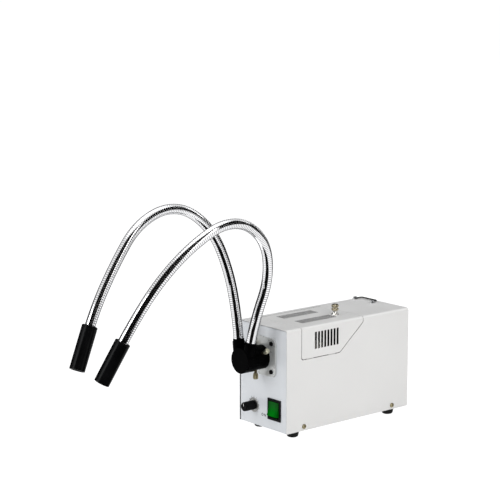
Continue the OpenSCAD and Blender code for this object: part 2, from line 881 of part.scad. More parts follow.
module fibre_tip() {
    color("lightyellow")
        rod_z(tip_r, 0.5, head_len - 1.5, 0, 0);
}

module left_head() { on_arm(-1, left_lean, left_turns) head(); }
module right_head() { on_arm(1, right_lean, right_turns) head(); }
module left_fibre_tip() { on_arm(-1, left_lean, left_turns) fibre_tip(); }
module right_fibre_tip() { on_arm(1, right_lean, right_turns) fibre_tip(); }

// ---- controls ----

module switch_bezel() {
    axle = rocker_w / 2 + 1.2;
    color([0.06, 0.06, 0.06])
        difference() {
            union() {
                box(switch_x - bezel_w / 2, switch_x + bezel_w / 2, front_y - bezel_t, front_y,
                    switch_z - bezel_h / 2, switch_z + bezel_h / 2);
                box(switch_x - bezel_w / 2 + bezel_rim, switch_x + bezel_w / 2 - bezel_rim,
                    front_y, front_y + bezel_deep,
                    switch_z - bezel_h / 2 + bezel_rim - 0.4,
                    switch_z + bezel_h / 2 - bezel_rim + 0.4);
            }
            box(switch_x - rocker_w / 2 - 0.3, switch_x + rocker_w / 2 + 0.3,
                front_y - bezel_t - 1, front_y + bezel_deep - 4,
                switch_z - rocker_cavity, switch_z + rocker_cavity);
            rod_x(rocker_axle_r + fit, switch_x - axle, switch_x + axle,
                front_y + rocker_pivot, switch_z);
        }
}

module rocker() {
    side = rocker_half;
    color("green")
        translate([0, front_y + rocker_pivot, switch_z])
            rotate([-rocker_tilt, 0, 0]) {
                slab_x(switch_x - rocker_w / 2, switch_x + rocker_w / 2)
                    polygon([[-7.4, 0], [-9, side], [-2, side], [2.5, 4], [2.5, -4],
                        [-2, -side], [-9, -side]]);
                rod_x(rocker_axle_r, switch_x - rocker_w / 2 - 1, switch_x + rocker_w / 2 + 1,
                    0, 0);
            }
}

module dimmer_pot() {
    color("dimgray")
        difference() {
            union() {
                rod_y(8, front_back_y, front_back_y + 9, dimmer_x, dimmer_z);
                rod_y(bush_r, front_y - 1.6, front_back_y + 1, dimmer_x, dimmer_z);
            }
            rod_y(shaft_r + fit, front_y - 3, front_back_y + 6, dimmer_x, dimmer_z);
        }
}

module dial_ring() {
    color("silver")
        difference() {
            rod_y(dial_r, front_y - ring_t, front_y, dimmer_x, dimmer_z);
            rod_y(bush_r + fit, front_y - ring_t - 1, front_y + 1, dimmer_x, dimmer_z);
        }
}

module dimmer_knob() {
    back = front_y - knob_gap;
    color([0.06, 0.06, 0.06])
        difference() {
            union() {
                rod_y(knob_r, back - knob_len, back, dimmer_x, dimmer_z);
                rod_y(shaft_r, back - 1, front_back_y + 5, dimmer_x, dimmer_z);
            }
            box(dimmer_x - 0.5, dimmer_x + 0.5, back - knob_len - 1, back - knob_len + 0.6,
                dimmer_z + 1, dimmer_z + knob_r + 1);
        }
}

// ---- rear ----

// the places of the inlet's three pins; the middle one stands higher
module pin_places() {
    for (x = [-pin_step, 0, pin_step])
        translate([inlet_x + x, 0, inlet_z - pin_drop + (x == 0 ? pin_h : 0)])
            children();
}

module power_inlet() {
    well = inlet_w / 2 - 4;
    body = inlet_w / 2 - inlet_rim;
    color([0.08, 0.08, 0.08])
        difference() {
            union() {
                box(inlet_x - inlet_w / 2, inlet_x + inlet_w / 2, rear_y, rear_y + 2.5,
                    inlet_z - inlet_under, inlet_z + inlet_over);
                box(inlet_x - body, inlet_x + body, rear_back_y - inlet_deep - 6, rear_y,
                    inlet_z - inlet_under + inlet_rim, inlet_z + inlet_over - inlet_rim);
            }
            box(inlet_x - well, inlet_x + well, rear_y - inlet_deep, rear_y + 3,
                inlet_z - 6.5, inlet_z + 9.5);
            box(inlet_x - drawer_w / 2, inlet_x + drawer_w / 2, rear_y - drawer_d, rear_y + 3,
                inlet_z - drawer_low, inlet_z - drawer_high);
            pin_places()
                box(-pin_w / 2 - fit, pin_w / 2 + fit, rear_y - pin_len - 2, rear_y,
                    -fit, pin_h + fit);
        }
}

module inlet_pins() {
    color("goldenrod")
        pin_places()
            box(-pin_w / 2, pin_w / 2, rear_y - pin_len - 2, rear_y - 2, 0, pin_h);
}

module fuse_drawer() {
    half = drawer_w / 2 - 0.1;
    grip = 3;
    color([0.12, 0.12, 0.12])
        difference() {
            box(inlet_x - half, inlet_x + half, rear_y - drawer_d + 0.2, rear_y + 2.5,
                inlet_z - drawer_low + 0.1, inlet_z - drawer_high - 0.1);
            box(inlet_x - grip, inlet_x + grip, rear_y + 1, rear_y + 3,
                inlet_z - drawer_low - 1, inlet_z - drawer_low + 1.5);
        }
}

// the fan's four fixing holes, in X and Z
module fan_holes() {
    for (x = [-fan_hole_d, fan_hole_d], z = [-fan_hole_d, fan_hole_d])
        translate([x, 0, fan_z + z])
            children();
}

module fan_frame() {
    hub_r = 15;
    spoke = 2.5;
    color([0.1, 0.1, 0.1])
        difference() {
            union() {
                difference() {
                    box(-fan_w / 2, fan_w / 2, fan_y, rear_back_y,
                        fan_z - fan_w / 2, fan_z + fan_w / 2);
                    rod_y(duct_r, fan_y - 1, rear_back_y + 1, 0, fan_z);
                }
                rod_y(hub_r, fan_y, fan_y + hub_t, 0, fan_z);
                for (angle = [0, 120, 240])
                    translate([0, 0, fan_z])
                        rotate([0, angle, 0])
                            box(-spoke, spoke, fan_y, fan_y + hub_t, hub_r - 5, duct_r + 1);
            }
            rod_y(fan_pin_r + fit, fan_y - 1, fan_y + hub_t + 1, 0, fan_z);
            fan_holes()
                rod_y(screw_r + fit, fan_y - 1, rear_back_y + 1, 0, 0);
        }
}

module fan_rotor() {
    blades = 7;
    tilt = 40;
    rotor_r = 14.5;
    blade_half = 9;
    blade_t = 1.6;
    color([0.15, 0.15, 0.15]) {
        rod_y(rotor_r, fan_y + hub_t + 0.3, rear_back_y - 2, 0, fan_z);
        rod_y(fan_pin_r, fan_y + 0.5, fan_y + hub_t + 1, 0, fan_z);
        for (i = [0:blades - 1])
            translate([0, (fan_y + rear_back_y) / 2 + 1, fan_z])
                rotate([0, i * 360 / blades, 0])
                    rotate([0, 0, tilt])
                        box(-blade_half, blade_half, -blade_t / 2, blade_t / 2,
                            rotor_r - 2.5, duct_r - 2.8);
    }
}

module fan_guard() {
    eye_r = 4;
    step = (duct_r - 14) / 3;
    color("silver")
        difference() {
            slab_y(rear_y, rear_y + guard_t)
                translate([0, fan_z]) {
                    for (i = [0:3])
                        difference() {
                            circle(12 + i * step);
                            circle(12 + i * step - guard_t);
                        }
                    for (angle = [45, 135])
                        rotate(angle)
                            square([2 * fan_hole_d * sqrt(2), guard_t], center = true);
                    for (x = [-fan_hole_d, fan_hole_d], z = [-fan_hole_d, fan_hole_d])
                        translate([x, z])
                            circle(eye_r);
                }
            fan_holes()
                rod_y(screw_r + fit, rear_y - 1, rear_y + guard_t + 1, 0, 0);
        }
}

module fan_screws() {
    seat = rear_y + guard_t;
    color("silver")
        fan_holes() {
            rod_y(screw_head_r, seat, seat + screw_head_h, 0, 0);
            rod_y(screw_r, fan_y + 2, seat, 0, 0);
        }
}

module handle_ears() {
    inside = handle_w / 2 + handle_r + ear_gap;
    color("dimgray")
        translate([handle_x, 0, 0])
            for (side = [0, 1])
                mirror([side, 0, 0])
                    difference() {
                        union() {
                            box(inside, inside + ear_t, handle_y - ear_half, handle_y + ear_half,
                                top_z, handle_z + handle_r + 1);
                            box(inside, inside + ear_tab, handle_y - ear_half,
                                handle_y + ear_half, top_z, top_z + 0.8);
                        }
                        rod_x(handle_r - 0.1 + fit, inside - 1, inside + ear_tab + 1,
                            handle_y, handle_z);
                    }
}

module handle_bail() {
    half = handle_w / 2;
    bar = half + handle_r + 0.5;
    pin = half + handle_r + ear_gap + ear_t + 0.5;
    color([0.2, 0.2, 0.2])
        translate([handle_x, handle_y, handle_z]) {
            rod_x(handle_r + 0.1, -bar, bar, handle_len, 0);
            for (side = [0, 1])
                mirror([side, 0, 0]) {
                    rod_y(handle_r, -handle_r, handle_len, half, 0);
                    rod_x(handle_r - 0.1, half, pin, 0, 0);
                }
        }
}

// ---- inside ----

module heat_shield() {
    side = inner_w - fit;
    y0 = front_back_y + 1;
    y1 = fan_y - 1;
    color("silver")
        difference() {
            union() {
                box(-side, side, y0, y1, shield_z, shield_top);
                for (x = [-side, side - shield_t])
                    box(x, x + shield_t, y0, y1, floor_z + flange_h, shield_z);
            }
            for (y = [door_front_y + 2 * shield_slot_in, door_front_y + 2 * shield_slot_l,
                fan_y - shield_slot_back])
                for (x = [-side + shield_slot_in, side - shield_slot_in - shield_slot_w])
                    box(x, x + shield_slot_w, y, y + shield_slot_l,
                        shield_z - 1, shield_top + 1);
        }
}

module lamp_bracket() {
    half = lamp_r + 3;
    back_y = lamp_end + socket_d;
    ledge = 6.5;
    color("silver")
        difference() {
            union() {
                box(-half, half, lamp_y - sheet_t, back_y + sheet_t, shield_top,
                    shield_top + sheet_t);
                box(-half, half, lamp_y - sheet_t, lamp_y, shield_top, port_z + lamp_r + 2);
                box(-socket_d, socket_d, back_y, back_y + sheet_t, shield_top, port_z + 12);
                box(-half, half, lamp_y - ledge, lamp_y, shield_top + 1,
                    shield_top + 1 + sheet_t);
            }
            rod_y(lamp_r - 3, lamp_y - sheet_t - 1, lamp_y + 1, 0, port_z);
            rod_y(4, back_y - 1, back_y + sheet_t + 1, 0, port_z);
        }
}

module lamp_reflector() {
    color("lightcyan")
        translate([0, lamp_y, port_z])
            rotate([-90, 0, 0])
                rotate_extrude()
                    polygon([[lamp_r - 1.5, 0], [lamp_r, 0], [lamp_r, 3],
                        [lamp_r - 3, 12], [lamp_r - 9, 23], [lamp_neck_r, lamp_d - 4],
                        [lamp_neck_r, lamp_d], [capsule_r + fit, lamp_d],
                        [capsule_r + fit, lamp_d - 6], [lamp_r - 11, 21.5],
                        [lamp_r - 5, 11.5], [lamp_r - 1.5, 3]]);
}

module lamp_capsule() {
    color("white") {
        rod_y(capsule_r, lamp_end - contact_len, lamp_end, 0, port_z);
        rod_y(capsule_r - 0.8, lamp_end - 22, lamp_end - contact_len + 0.5, 0, port_z);
        for (x = [-contact_x, contact_x])
            rod_y(contact_r, lamp_end - 1, lamp_end + contact_len, x, port_z);
    }
}

module lamp_socket() {
    half = socket_d - 2;
    color("ivory")
        difference() {
            box(-half, half, lamp_end, lamp_end + socket_d, port_z - half / 2,
                port_z + half / 2);
            for (x = [-contact_x, contact_x])
                rod_y(contact_r + fit, lamp_end - 1, lamp_end + contact_len + 1, x, port_z);
        }
}

module heat_filter() {
    glass_t = 3;
    low = shield_top + 1 + sheet_t;
    color("paleturquoise")
        box(-lamp_r + 1, lamp_r - 1, lamp_y - sheet_t - glass_t, lamp_y - sheet_t,
            low, port_z + lamp_r - 1);
}

module transformer_core() {
    y0 = core_y - core_d / 2;
    color("slategray")
        difference() {
            box(-core_w / 2, core_w / 2, y0, y0 + core_d, core_z, core_z + core_h);
            for (x = [-2 * leg_w, leg_w])
                box(x, x + leg_w, y0 - 1, y0 + core_d + 1, core_z + leg_w,
                    core_z + core_h - leg_w);
        }
}

module transformer_winding() {
    low = core_z + leg_w + 0.3;
    high = core_z + core_h - leg_w - 0.3;
    out = core_d / 2 + 9;
    hold = leg_w + 0.1;
    color("darkorange")
        difference() {
            translate([0, core_y, low])
                linear_extrude(high - low)
                    polygon(plate(4 * leg_w - 0.6, 2 * out, 6));
            box(-hold, hold, core_y - core_d / 2 - 0.1, core_y + core_d / 2 + 0.1,
                low - 1, high + 1);
        }
}

module board_posts() {
    for (x = [-1, 1], y = [-1, 1])
        translate([x * (board_w / 2 - post_in), board_y + y * (board_d / 2 - post_in), 0])
            children();
}

module circuit_board() {
    color("darkgreen")
        difference() {
            box(-board_w / 2, board_w / 2, board_y - board_d / 2, board_y + board_d / 2,
                board_z, board_z + board_t);
            board_posts()
                rod_z(post_r / 2 + fit, board_z - 1, board_z + board_t + 1, 0, 0);
        }
}

module board_parts() {
    seat = board_z + board_t;
    can_r = 6;
    can_h = 16.4;
    sink_h = 24.4;
    fins = 6;
    color("dimgray") {
        board_posts() {
            rod_z(post_r, floor_z + base_t, board_z, 0, 0);
            rod_z(post_r / 2, board_z - 1, seat + 2, 0, 0);
        }
        for (i = [0, 1])
            rod_z(can_r, seat, seat + can_h, -board_w / 4.5 + i * (2 * can_r + 4), board_y + 8);
        translate([board_w / 7.2, board_y, seat]) {
            box(0, 20, -12, -8, 0, sink_h);
            for (i = [0:fins - 1])
                translate([i * 3.7, 0, 0])
                    box(0, 1.5, -8.5, 2, 2.4, sink_h);
        }
        translate([-board_w / 2.4, board_y, seat])
            box(0, 20, -16, -6, 0, 10.4);
    }
}

base_chassis();
front_panel();
rear_panel();
housing_cover();
cover_screws();
rubber_feet();
foot_screws();
lamp_door();
door_post();
door_screw();
port_flange();
flange_screws();
port_collar();
clamp_stud_lower();
clamp_stud_right();
clamp_stud_left();
clamp_head_lower();
clamp_head_right();
clamp_head_left();
switch_bezel();
rocker();
dimmer_pot();
dial_ring();
dimmer_knob();
ferrule();
fibre_bundle();
splitter_block();
hose_sleeves();
left_hose_root();
left_hose_rise();
left_hose_arch();
left_hose_end();
right_hose_root();
right_hose_rise();
right_hose_arch();
right_hose_end();
left_head();
right_head();
left_fibre_tip();
right_fibre_tip();
power_inlet();
inlet_pins();
fuse_drawer();
fan_frame();
fan_rotor();
fan_guard();
fan_screws();
handle_ears();
handle_bail();
heat_shield();
lamp_bracket();
lamp_reflector();
lamp_capsule();
lamp_socket();
heat_filter();
transformer_core();
transformer_winding();
circuit_board();
board_parts();
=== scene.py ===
"""Finishes and fine shapes of a fibre optic illuminator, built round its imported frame.

Places are in metres, and in millimetres where a comment says so. X runs to the right, Y to
the back and Z up, from the table under the lamp house.
"""

import json
from math import cos, pi, radians, sin

import bmesh
import bpy
from mathutils import Euler, Matrix, Vector


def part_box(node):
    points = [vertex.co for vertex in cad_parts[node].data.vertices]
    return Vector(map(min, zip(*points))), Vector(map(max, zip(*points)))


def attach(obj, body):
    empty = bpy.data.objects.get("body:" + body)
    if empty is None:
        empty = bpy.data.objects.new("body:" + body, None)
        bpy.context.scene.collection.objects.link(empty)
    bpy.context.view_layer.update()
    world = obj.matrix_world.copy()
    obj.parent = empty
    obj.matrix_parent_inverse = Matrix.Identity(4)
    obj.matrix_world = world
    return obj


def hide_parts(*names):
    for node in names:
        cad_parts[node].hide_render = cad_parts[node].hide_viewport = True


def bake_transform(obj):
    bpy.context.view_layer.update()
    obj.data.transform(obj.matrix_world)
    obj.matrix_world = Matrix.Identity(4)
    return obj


MM = 0.001
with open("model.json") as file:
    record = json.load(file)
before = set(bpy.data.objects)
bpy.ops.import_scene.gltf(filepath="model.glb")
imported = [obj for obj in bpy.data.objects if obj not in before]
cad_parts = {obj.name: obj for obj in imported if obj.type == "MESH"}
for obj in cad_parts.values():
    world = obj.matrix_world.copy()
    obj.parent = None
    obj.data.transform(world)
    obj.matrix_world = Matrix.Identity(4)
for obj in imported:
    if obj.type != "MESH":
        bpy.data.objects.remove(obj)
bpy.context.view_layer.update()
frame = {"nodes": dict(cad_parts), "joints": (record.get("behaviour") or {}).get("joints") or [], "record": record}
nodes = frame["nodes"]
body_of = {
    node: body
    for body, members in frame["record"]["behaviour"]["bodies"].items()
    for node in members
}


# ---- material nodes ----


def add(material, kind, sockets=(), **settings):
    """A shader node with its settings; a socket takes a value or another node's output."""
    made = material.node_tree.nodes.new("ShaderNode" + kind)
    for key, value in settings.items():
        setattr(made, key, value)
    for key, value in dict(sockets).items():
        plug(material, made.inputs[key], value)
    return made


def plug(material, socket, value):
    """Gives a socket a value, or links another node's output to it."""
    if isinstance(value, bpy.types.NodeSocket):
        material.node_tree.links.new(value, socket)
    else:
        socket.default_value = value


def shader(name, colour, roughness, metallic=0.0, **sockets):
    """A new material and its shader, with what is the same all over set on it."""
    material = bpy.data.materials.new(name)
    material.use_nodes = True
    surface = material.node_tree.nodes["Principled BSDF"]
    surface.inputs["Base Color"].default_value = (*colour, 1)
    surface.inputs["Roughness"].default_value = roughness
    surface.inputs["Metallic"].default_value = metallic
    for key, value in sockets.items():
        surface.inputs[key.replace("_", " ")].default_value = value
    return material, surface.inputs


def here(material):
    """Object coordinates, which are the part's own in metres."""
    return add(material, "TexCoord").outputs["Object"]


def stretched(material, scale):
    """Object coordinates, squeezed or drawn out along each axis."""
    return add(material, "Mapping", {"Vector": here(material), "Scale": scale}).outputs[0]


def grain(material, size, detail=2.0, vector=None):
    """Soft noise with features of about that size."""
    return add(
        material,
        "TexNoise",
        {"Vector": vector or here(material), "Scale": 1 / size, "Detail": detail},
    ).outputs["Fac"]


def between(material, amount, low, high, start=0.3, end=0.7):
    """The amount, spread from its range start to end over the range low to high."""
    sockets = {"Value": amount, "From Min": start, "From Max": end, "To Min": low, "To Max": high}
    return add(material, "MapRange", sockets).outputs["Result"]


# the Mix node's sockets when it mixes colours
MIX_AMOUNT, MIX_FIRST, MIX_SECOND, MIX_RESULT = 0, 6, 7, 2


def mixed(material, amount, first, second):
    """A colour between two, by an amount from 0 to 1."""
    mix = add(material, "Mix", data_type="RGBA")
    plug(material, mix.inputs[MIX_AMOUNT], amount)
    for socket, colour in ((MIX_FIRST, first), (MIX_SECOND, second)):
        linked = isinstance(colour, bpy.types.NodeSocket)
        plug(material, mix.inputs[socket], colour if linked else (*colour, 1))
    return mix.outputs[MIX_RESULT]


def raised(material, height, depth):
    """Relief of a depth in metres."""
    sockets = {"Height": height, "Distance": depth, "Strength": 1.0}
    return add(material, "Bump", sockets).outputs["Normal"]


def worn(material, surface, colour, tone, roughness, patch, pores, depth):
    """Patches of another tone, uneven gloss and a fine relief, shared by many finishes.

    The patches and pores are about that size, in metres, and the relief is that deep.
    """
    plug(material, surface["Base Color"], mixed(
        material, between(material, grain(material, patch, 4), 0, 1), colour, tone))
    plug(material, surface["Roughness"], between(
        material, grain(material, patch / 3, 3), roughness[0], roughness[1]))
    plug(material, surface["Normal"], raised(material, grain(material, pores), depth))


# ---- finishes ----


def powder_coat(name, colour, tone, roughness):
    """Baked paint on sheet metal, with the fine orange peel of a sprayed coat."""
    material, surface = shader(name, colour, 0.4, Specular_IOR_Level=0.5)
    worn(material, surface, colour, tone, roughness,
        patch=0.09, pores=0.0009, depth=0.00002)
    return material


def satin_casting(name, colour, tone, roughness):
    """A light-alloy casting, ground flat and lacquered, that mirrors softly."""
    material, surface = shader(name, colour, 0.25, metallic=0.45)
    worn(material, surface, colour, tone, roughness,
        patch=0.03, pores=0.0006, depth=0.000003)
    return material


def gloss_black(name, shine, tone):
    """Black anodised metal, deep in tone, with a faint, fine grain."""
    colour = (tone / 3, tone / 3, tone / 2.7)
    material, surface = shader(name, colour, 0.2, Specular_IOR_Level=shine)
    worn(material, surface, colour, (tone, tone, tone * 1.1), (0.14, 0.24),
        patch=0.03, pores=0.0006, depth=0.000006)
    return material


def black_plastic(name, roughness=(0.4, 0.55)):
    """Moulded plastic with a fine spark-eroded texture."""
    colour = (0.0015, 0.0015, 0.0017)
    material, surface = shader(name, colour, 0.5, Specular_IOR_Level=0.05)
    worn(material, surface, colour, (0.005, 0.005, 0.0055), roughness,
        patch=0.02, pores=0.0004, depth=0.00002)
    return material


def foot_rubber():
    """Black rubber, dull and a little dusty."""
    colour = (0.004, 0.004, 0.004)
    material, surface = shader("foot_rubber", colour, 0.8, Specular_IOR_Level=0.15)
    worn(material, surface, colour, (0.01, 0.0098, 0.0095), (0.65, 0.9),
        patch=0.012, pores=0.0005, depth=0.00004)
    return material


def plated(name, colour, tone, roughness):
    """Plated or bare metal, a little uneven in tone and gloss."""
    material, surface = shader(name, colour, 0.2, metallic=1.0)
    worn(material, surface, colour, tone, roughness,
        patch=0.006, pores=0.0004, depth=0.000004)
    return material


def hose_chrome():
    """Bright hose, with painted shade and a duller gloss down in the grooves between its ribs."""
    bright, dull = (0.88, 0.88, 0.89), (0.02, 0.02, 0.022)
    material, surface = shader(
        "hose_chrome", bright, 0.1, metallic=1.0, Specular_Tint=(0.02, 0.02, 0.025, 1))
    depth = add(material, "Attribute", attribute_name="groove").outputs["Fac"]
    soft = between(material, grain(material, 0.01, 3), 0.0, 0.25)
    shade = mixed(material, soft, bright, (0.72, 0.72, 0.74))
    # painted shade: the colour goes dark towards the bottom of each groove
    deep = between(material, depth, 0, 1, 0.3, 0.8)
    plug(material, surface["Base Color"], mixed(material, deep, shade, dull))
    plug(material, surface["Roughness"], between(material, depth, 0.05, 0.45, 0.2, 1.0))
    return material


def zinc_sheet():
    """Zinc-plated sheet with its crystal flakes and rolled grain."""
    material, surface = shader("zinc_sheet", (0.6, 0.61, 0.62), 0.35, metallic=1.0)
    flakes = add(material, "TexVoronoi", {"Vector": here(material), "Scale": 160}).outputs["Color"]
    level = add(material, "RGBToBW", {"Color": flakes}).outputs["Val"]
    plug(material, surface["Base Color"], mixed(
        material, level, (0.52, 0.53, 0.55), (0.68, 0.69, 0.70)))
    plug(material, surface["Roughness"], between(material, level, 0.28, 0.45, 0, 1))
    rolled = grain(material, 0.002, 2, stretched(material, (1, 0.05, 1)))
    plug(material, surface["Normal"], raised(material, rolled, 0.00001))
    return material


def green_lens():
    """Glossy green moulding, with painted shade that makes it deeper in tone in its upper half and at its left and
    right, and a glow that is stronger in its lower half.
    """
    low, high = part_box("rocker")
    material, surface = shader(
        "green_lens", (0.0, 0.3, 0.04), 0.16, Specular_IOR_Level=0.04,
        Emission_Strength=0.06)
    spot = add(material, "SeparateXYZ", {"Vector": here(material)}).outputs
    middle = (low.z + high.z) / 2
    # painted shade: the upper half is darker, and glows less
    upper = between(material, spot["Z"], 0, 1, middle - 4 * MM, middle + 7 * MM)
    cloud = mixed(material, between(material, grain(material, 0.004, 3), 0, 0.5),
        (0.0, 0.16, 0.005), (0.0, 0.12, 0.004))
    centre, reach = (low.x + high.x) / 2, (high.x - low.x) / 2
    pale = 0.3 * reach
    # painted shade towards the left and right sides
    rim = add(material, "Math", {
        0: between(material, spot["X"], 0, 1, centre + pale, centre + reach),
        1: between(material, spot["X"], 1, 0, centre - reach, centre - pale),
    }, operation="ADD").outputs[0]
    body = mixed(material, upper, cloud, (0.001, 0.09, 0.006))
    plug(material, surface["Base Color"], mixed(material, rim, body, (0.0, 0.05, 0.002)))
    plug(material, surface["Emission Color"], mixed(
        material, upper, (0.0, 0.3, 0.01), (0.0, 0.06, 0.005)))
    plug(material, surface["Roughness"], between(material, grain(material, 0.002), 0.12, 0.22))
    return material


def fibre_face():
    """Polished ends of some thousands of fibres, packed in resin."""
    material, surface = shader("fibre_face", (0.8, 0.82, 0.76), 0.25, Coat_Weight=0.3)
    ends = add(material, "TexVoronoi", {"Vector": here(material), "Scale": 2600})
    away = ends.outputs["Distance"]
    plug(material, surface["Base Color"], mixed(
        material, between(material, away, 0, 1, 0.1, 0.6),
        (0.86, 0.88, 0.82), (0.32, 0.30, 0.26)))
    plug(material, surface["Normal"], raised(material, away, 0.00002))
    return material


def clear_glass(name, colour):
    """Borosilicate glass, faintly uneven in gloss."""
    material, surface = shader(name, colour, 0.03, Transmission_Weight=0.92, IOR=1.47)
    plug(material, surface["Roughness"], between(material, grain(material, 0.005, 3), 0.02, 0.08))
    return material


def mirror_coat():
    """Faceted reflector under a thin coloured coat."""
    material, surface = shader("mirror_coat", (0.8, 0.82, 0.86), 0.12, metallic=1.0)
    facets = add(material, "TexVoronoi", {"Vector": here(material), "Scale": 260})
    plug(material, surface["Normal"], raised(material, facets.outputs["Distance"], 0.0002))
    plug(material, surface["Base Color"], mixed(
        material, between(material, grain(material, 0.01), 0, 1),
        (0.82, 0.84, 0.9), (0.9, 0.82, 0.78)))
    return material


def steatite():
    """Pale technical ceramic, unglazed."""
    colour = (0.78, 0.75, 0.68)
    material, surface = shader("steatite", colour, 0.6)
    worn(material, surface, colour, (0.70, 0.66, 0.58), (0.5, 0.7),
        patch=0.006, pores=0.0003, depth=0.00002)
    return material


def laminations():
    """Stacked sheets of core steel under varnish, edge on."""
    material, surface = shader("laminations", (0.09, 0.09, 0.1), 0.45, metallic=0.4)
    sheets = add(material, "TexWave", {"Vector": here(material), "Scale": 320, "Distortion": 0.6},
        bands_direction="Y").outputs["Fac"]
    plug(material, surface["Base Color"], mixed(
        material, sheets, (0.05, 0.05, 0.055), (0.16, 0.155, 0.15)))
    plug(material, surface["Normal"], raised(material, sheets, 0.0001))
    plug(material, surface["Roughness"], between(material, grain(material, 0.01), 0.35, 0.6))
    return material


def winding_tape():
    """Amber tape wound over the copper, in overlapping turns."""
    material, surface = shader("winding_tape", (0.55, 0.3, 0.06), 0.3, Coat_Weight=0.4)
    turns = add(material, "TexWave", {"Vector": here(material), "Scale": 42, "Distortion": 1.2},
        bands_direction="Z").outputs["Fac"]
    plug(material, surface["Base Color"], mixed(
        material, turns, (0.62, 0.36, 0.08), (0.42, 0.2, 0.04)))
    plug(material, surface["Normal"], raised(material, turns, 0.0002))
    return material


def solder_resist():
    """Green board with copper tracks showing through its lacquer."""
    material, surface = shader("solder_resist", (0.01, 0.12, 0.04), 0.3, Coat_Weight=0.4)
    tracks = add(material, "TexBrick", {
        "Vector": here(material), "Scale": 190, "Mortar Size": 0.06,
        "Color1": (0.01, 0.11, 0.035, 1), "Color2": (0.012, 0.14, 0.045, 1),
        "Mortar": (0.05, 0.24, 0.09, 1)})
    plug(material, surface["Base Color"], tracks.outputs["Color"])
    plug(material, surface["Normal"], raised(material, tracks.outputs["Fac"], 0.00003))
    return material


def component_case():
    """Moulded cases and sleeves of several dark tones."""
    material, surface = shader("component_case", (0.05, 0.05, 0.06), 0.4)
    cells = add(material, "TexVoronoi", {"Vector": here(material), "Scale": 60}).outputs["Color"]
    level = add(material, "RGBToBW", {"Color": cells}).outputs["Val"]
    plug(material, surface["Base Color"], mixed(
        material, level, (0.02, 0.025, 0.06), (0.12, 0.12, 0.13)))
    plug(material, surface["Roughness"], between(material, grain(material, 0.003), 0.3, 0.55))
    return material


def ink():
    """Dark printing ink, thin and matt."""
    colour = (0.03, 0.03, 0.035)
    material, surface = shader("ink", colour, 0.5)
    worn(material, surface, colour, (0.07, 0.07, 0.075), (0.4, 0.6),
        patch=0.002, pores=0.0002, depth=0.000005)
    return material


COVER_PAINT = powder_coat("cover_paint", (0.71, 0.705, 0.69), (0.69, 0.685, 0.672), (0.34, 0.44))
PANEL_PAINT = powder_coat("panel_paint", (0.70, 0.715, 0.73), (0.68, 0.697, 0.715), (0.16, 0.22))
PORT_PAINT = satin_casting("port_paint", (0.56, 0.57, 0.56), (0.53, 0.54, 0.53), (0.26, 0.32))
BLACK_METAL = gloss_black("black_metal", 0.05, 0.004)
DEEP_BLACK = gloss_black("deep_black", 0.008, 0.0015)
BLACK_PLASTIC = black_plastic("black_plastic")
KNOB_PLASTIC = black_plastic("knob_plastic")
RUBBER = foot_rubber()
DIAL_STEEL = plated("dial_steel", (0.36, 0.36, 0.35), (0.22, 0.22, 0.21), (0.3, 0.45))
NICKEL = plated("nickel", (0.80, 0.79, 0.76), (0.70, 0.69, 0.66), (0.12, 0.24))
CHAMPAGNE = plated("champagne", (0.56, 0.50, 0.38), (0.40, 0.36, 0.26), (0.2, 0.34))
DULL_BRASS = plated("dull_brass", (0.34, 0.30, 0.19), (0.22, 0.19, 0.11), (0.25, 0.4))
PALE_BRASS = plated("pale_brass", (0.66, 0.64, 0.50), (0.52, 0.50, 0.38), (0.25, 0.4))
BRASS = plated("brass", (0.75, 0.55, 0.24), (0.62, 0.44, 0.18), (0.2, 0.35))
# painted shade: the clamp studs, which lie in shadow, are made dark
BRASS_IN_PAINTED_SHADE = plated("brass_in_painted_shade", (0.12, 0.10, 0.06), (0.07, 0.06, 0.035), (0.3, 0.45))
DARK_STEEL = plated("dark_steel", (0.05, 0.05, 0.05), (0.03, 0.03, 0.03), (0.3, 0.45))
CHROME = hose_chrome()
ZINC = zinc_sheet()
GREEN = green_lens()
FIBRE = fibre_face()
LAMP_GLASS = clear_glass("lamp_glass", (0.95, 0.97, 0.97))
FILTER_GLASS = clear_glass("filter_glass", (0.80, 0.92, 0.90))
MIRROR = mirror_coat()
CERAMIC = steatite()
CORE = laminations()
TAPE = winding_tape()
BOARD = solder_resist()
CASES = component_case()
INK = ink()
# painted shade for the faces inside the house
PAINTED_INSIDE_SHADE = powder_coat("painted_inside_shade", (0.012, 0.012, 0.012), (0.02, 0.02, 0.02), (0.6, 0.8))
# painted shade: the heat shield and the lamp bracket, seen through the vents, are dark
PAINTED_SHADE_STEEL = plated("painted_shade_steel", (0.07, 0.07, 0.075), (0.04, 0.04, 0.045), (0.45, 0.6))
# painted shade for the walls of the vents
PAINTED_VENT_SHADE = black_plastic("painted_vent_shade", (0.8, 0.9))
WHITE_LINE = powder_coat("white_line", (0.80, 0.80, 0.78), (0.76, 0.76, 0.74), (0.4, 0.5))


# ---- shapes ----

SHARP = 40  # an edge that turns by more degrees than this is sharp


def copy_of(name):
    """A node's own shape, its loose triangles merged into whole faces."""
    shape = bmesh.new()
    shape.from_mesh(nodes[name].data)
    bmesh.ops.remove_doubles(shape, verts=shape.verts, dist=1e-6)
    bmesh.ops.dissolve_limit(
        shape, angle_limit=radians(0.5), verts=shape.verts, edges=shape.edges)
    return shape


def bevel(shape, edges, size, steps=2):
    """Breaks the edges, by a size in metres."""
    bmesh.ops.bevel(
        shape, geom=list(edges), offset=size, segments=steps, profile=0.5,
        affect="EDGES", clamp_overlap=True, material=-1)


def sharp_edges(shape):
    return [
        e for e in shape.edges
        if len(e.link_faces) == 2 and e.calc_face_angle() > radians(SHARP)
    ]


def shaded_smooth(shape, limit):
    """Smooth shading, broken at the edges that turn by more than the limit, in degrees."""
    for face in shape.faces:
        face.smooth = True
    for edge in shape.edges:
        edge.smooth = len(edge.link_faces) != 2 or edge.calc_face_angle() < radians(limit)


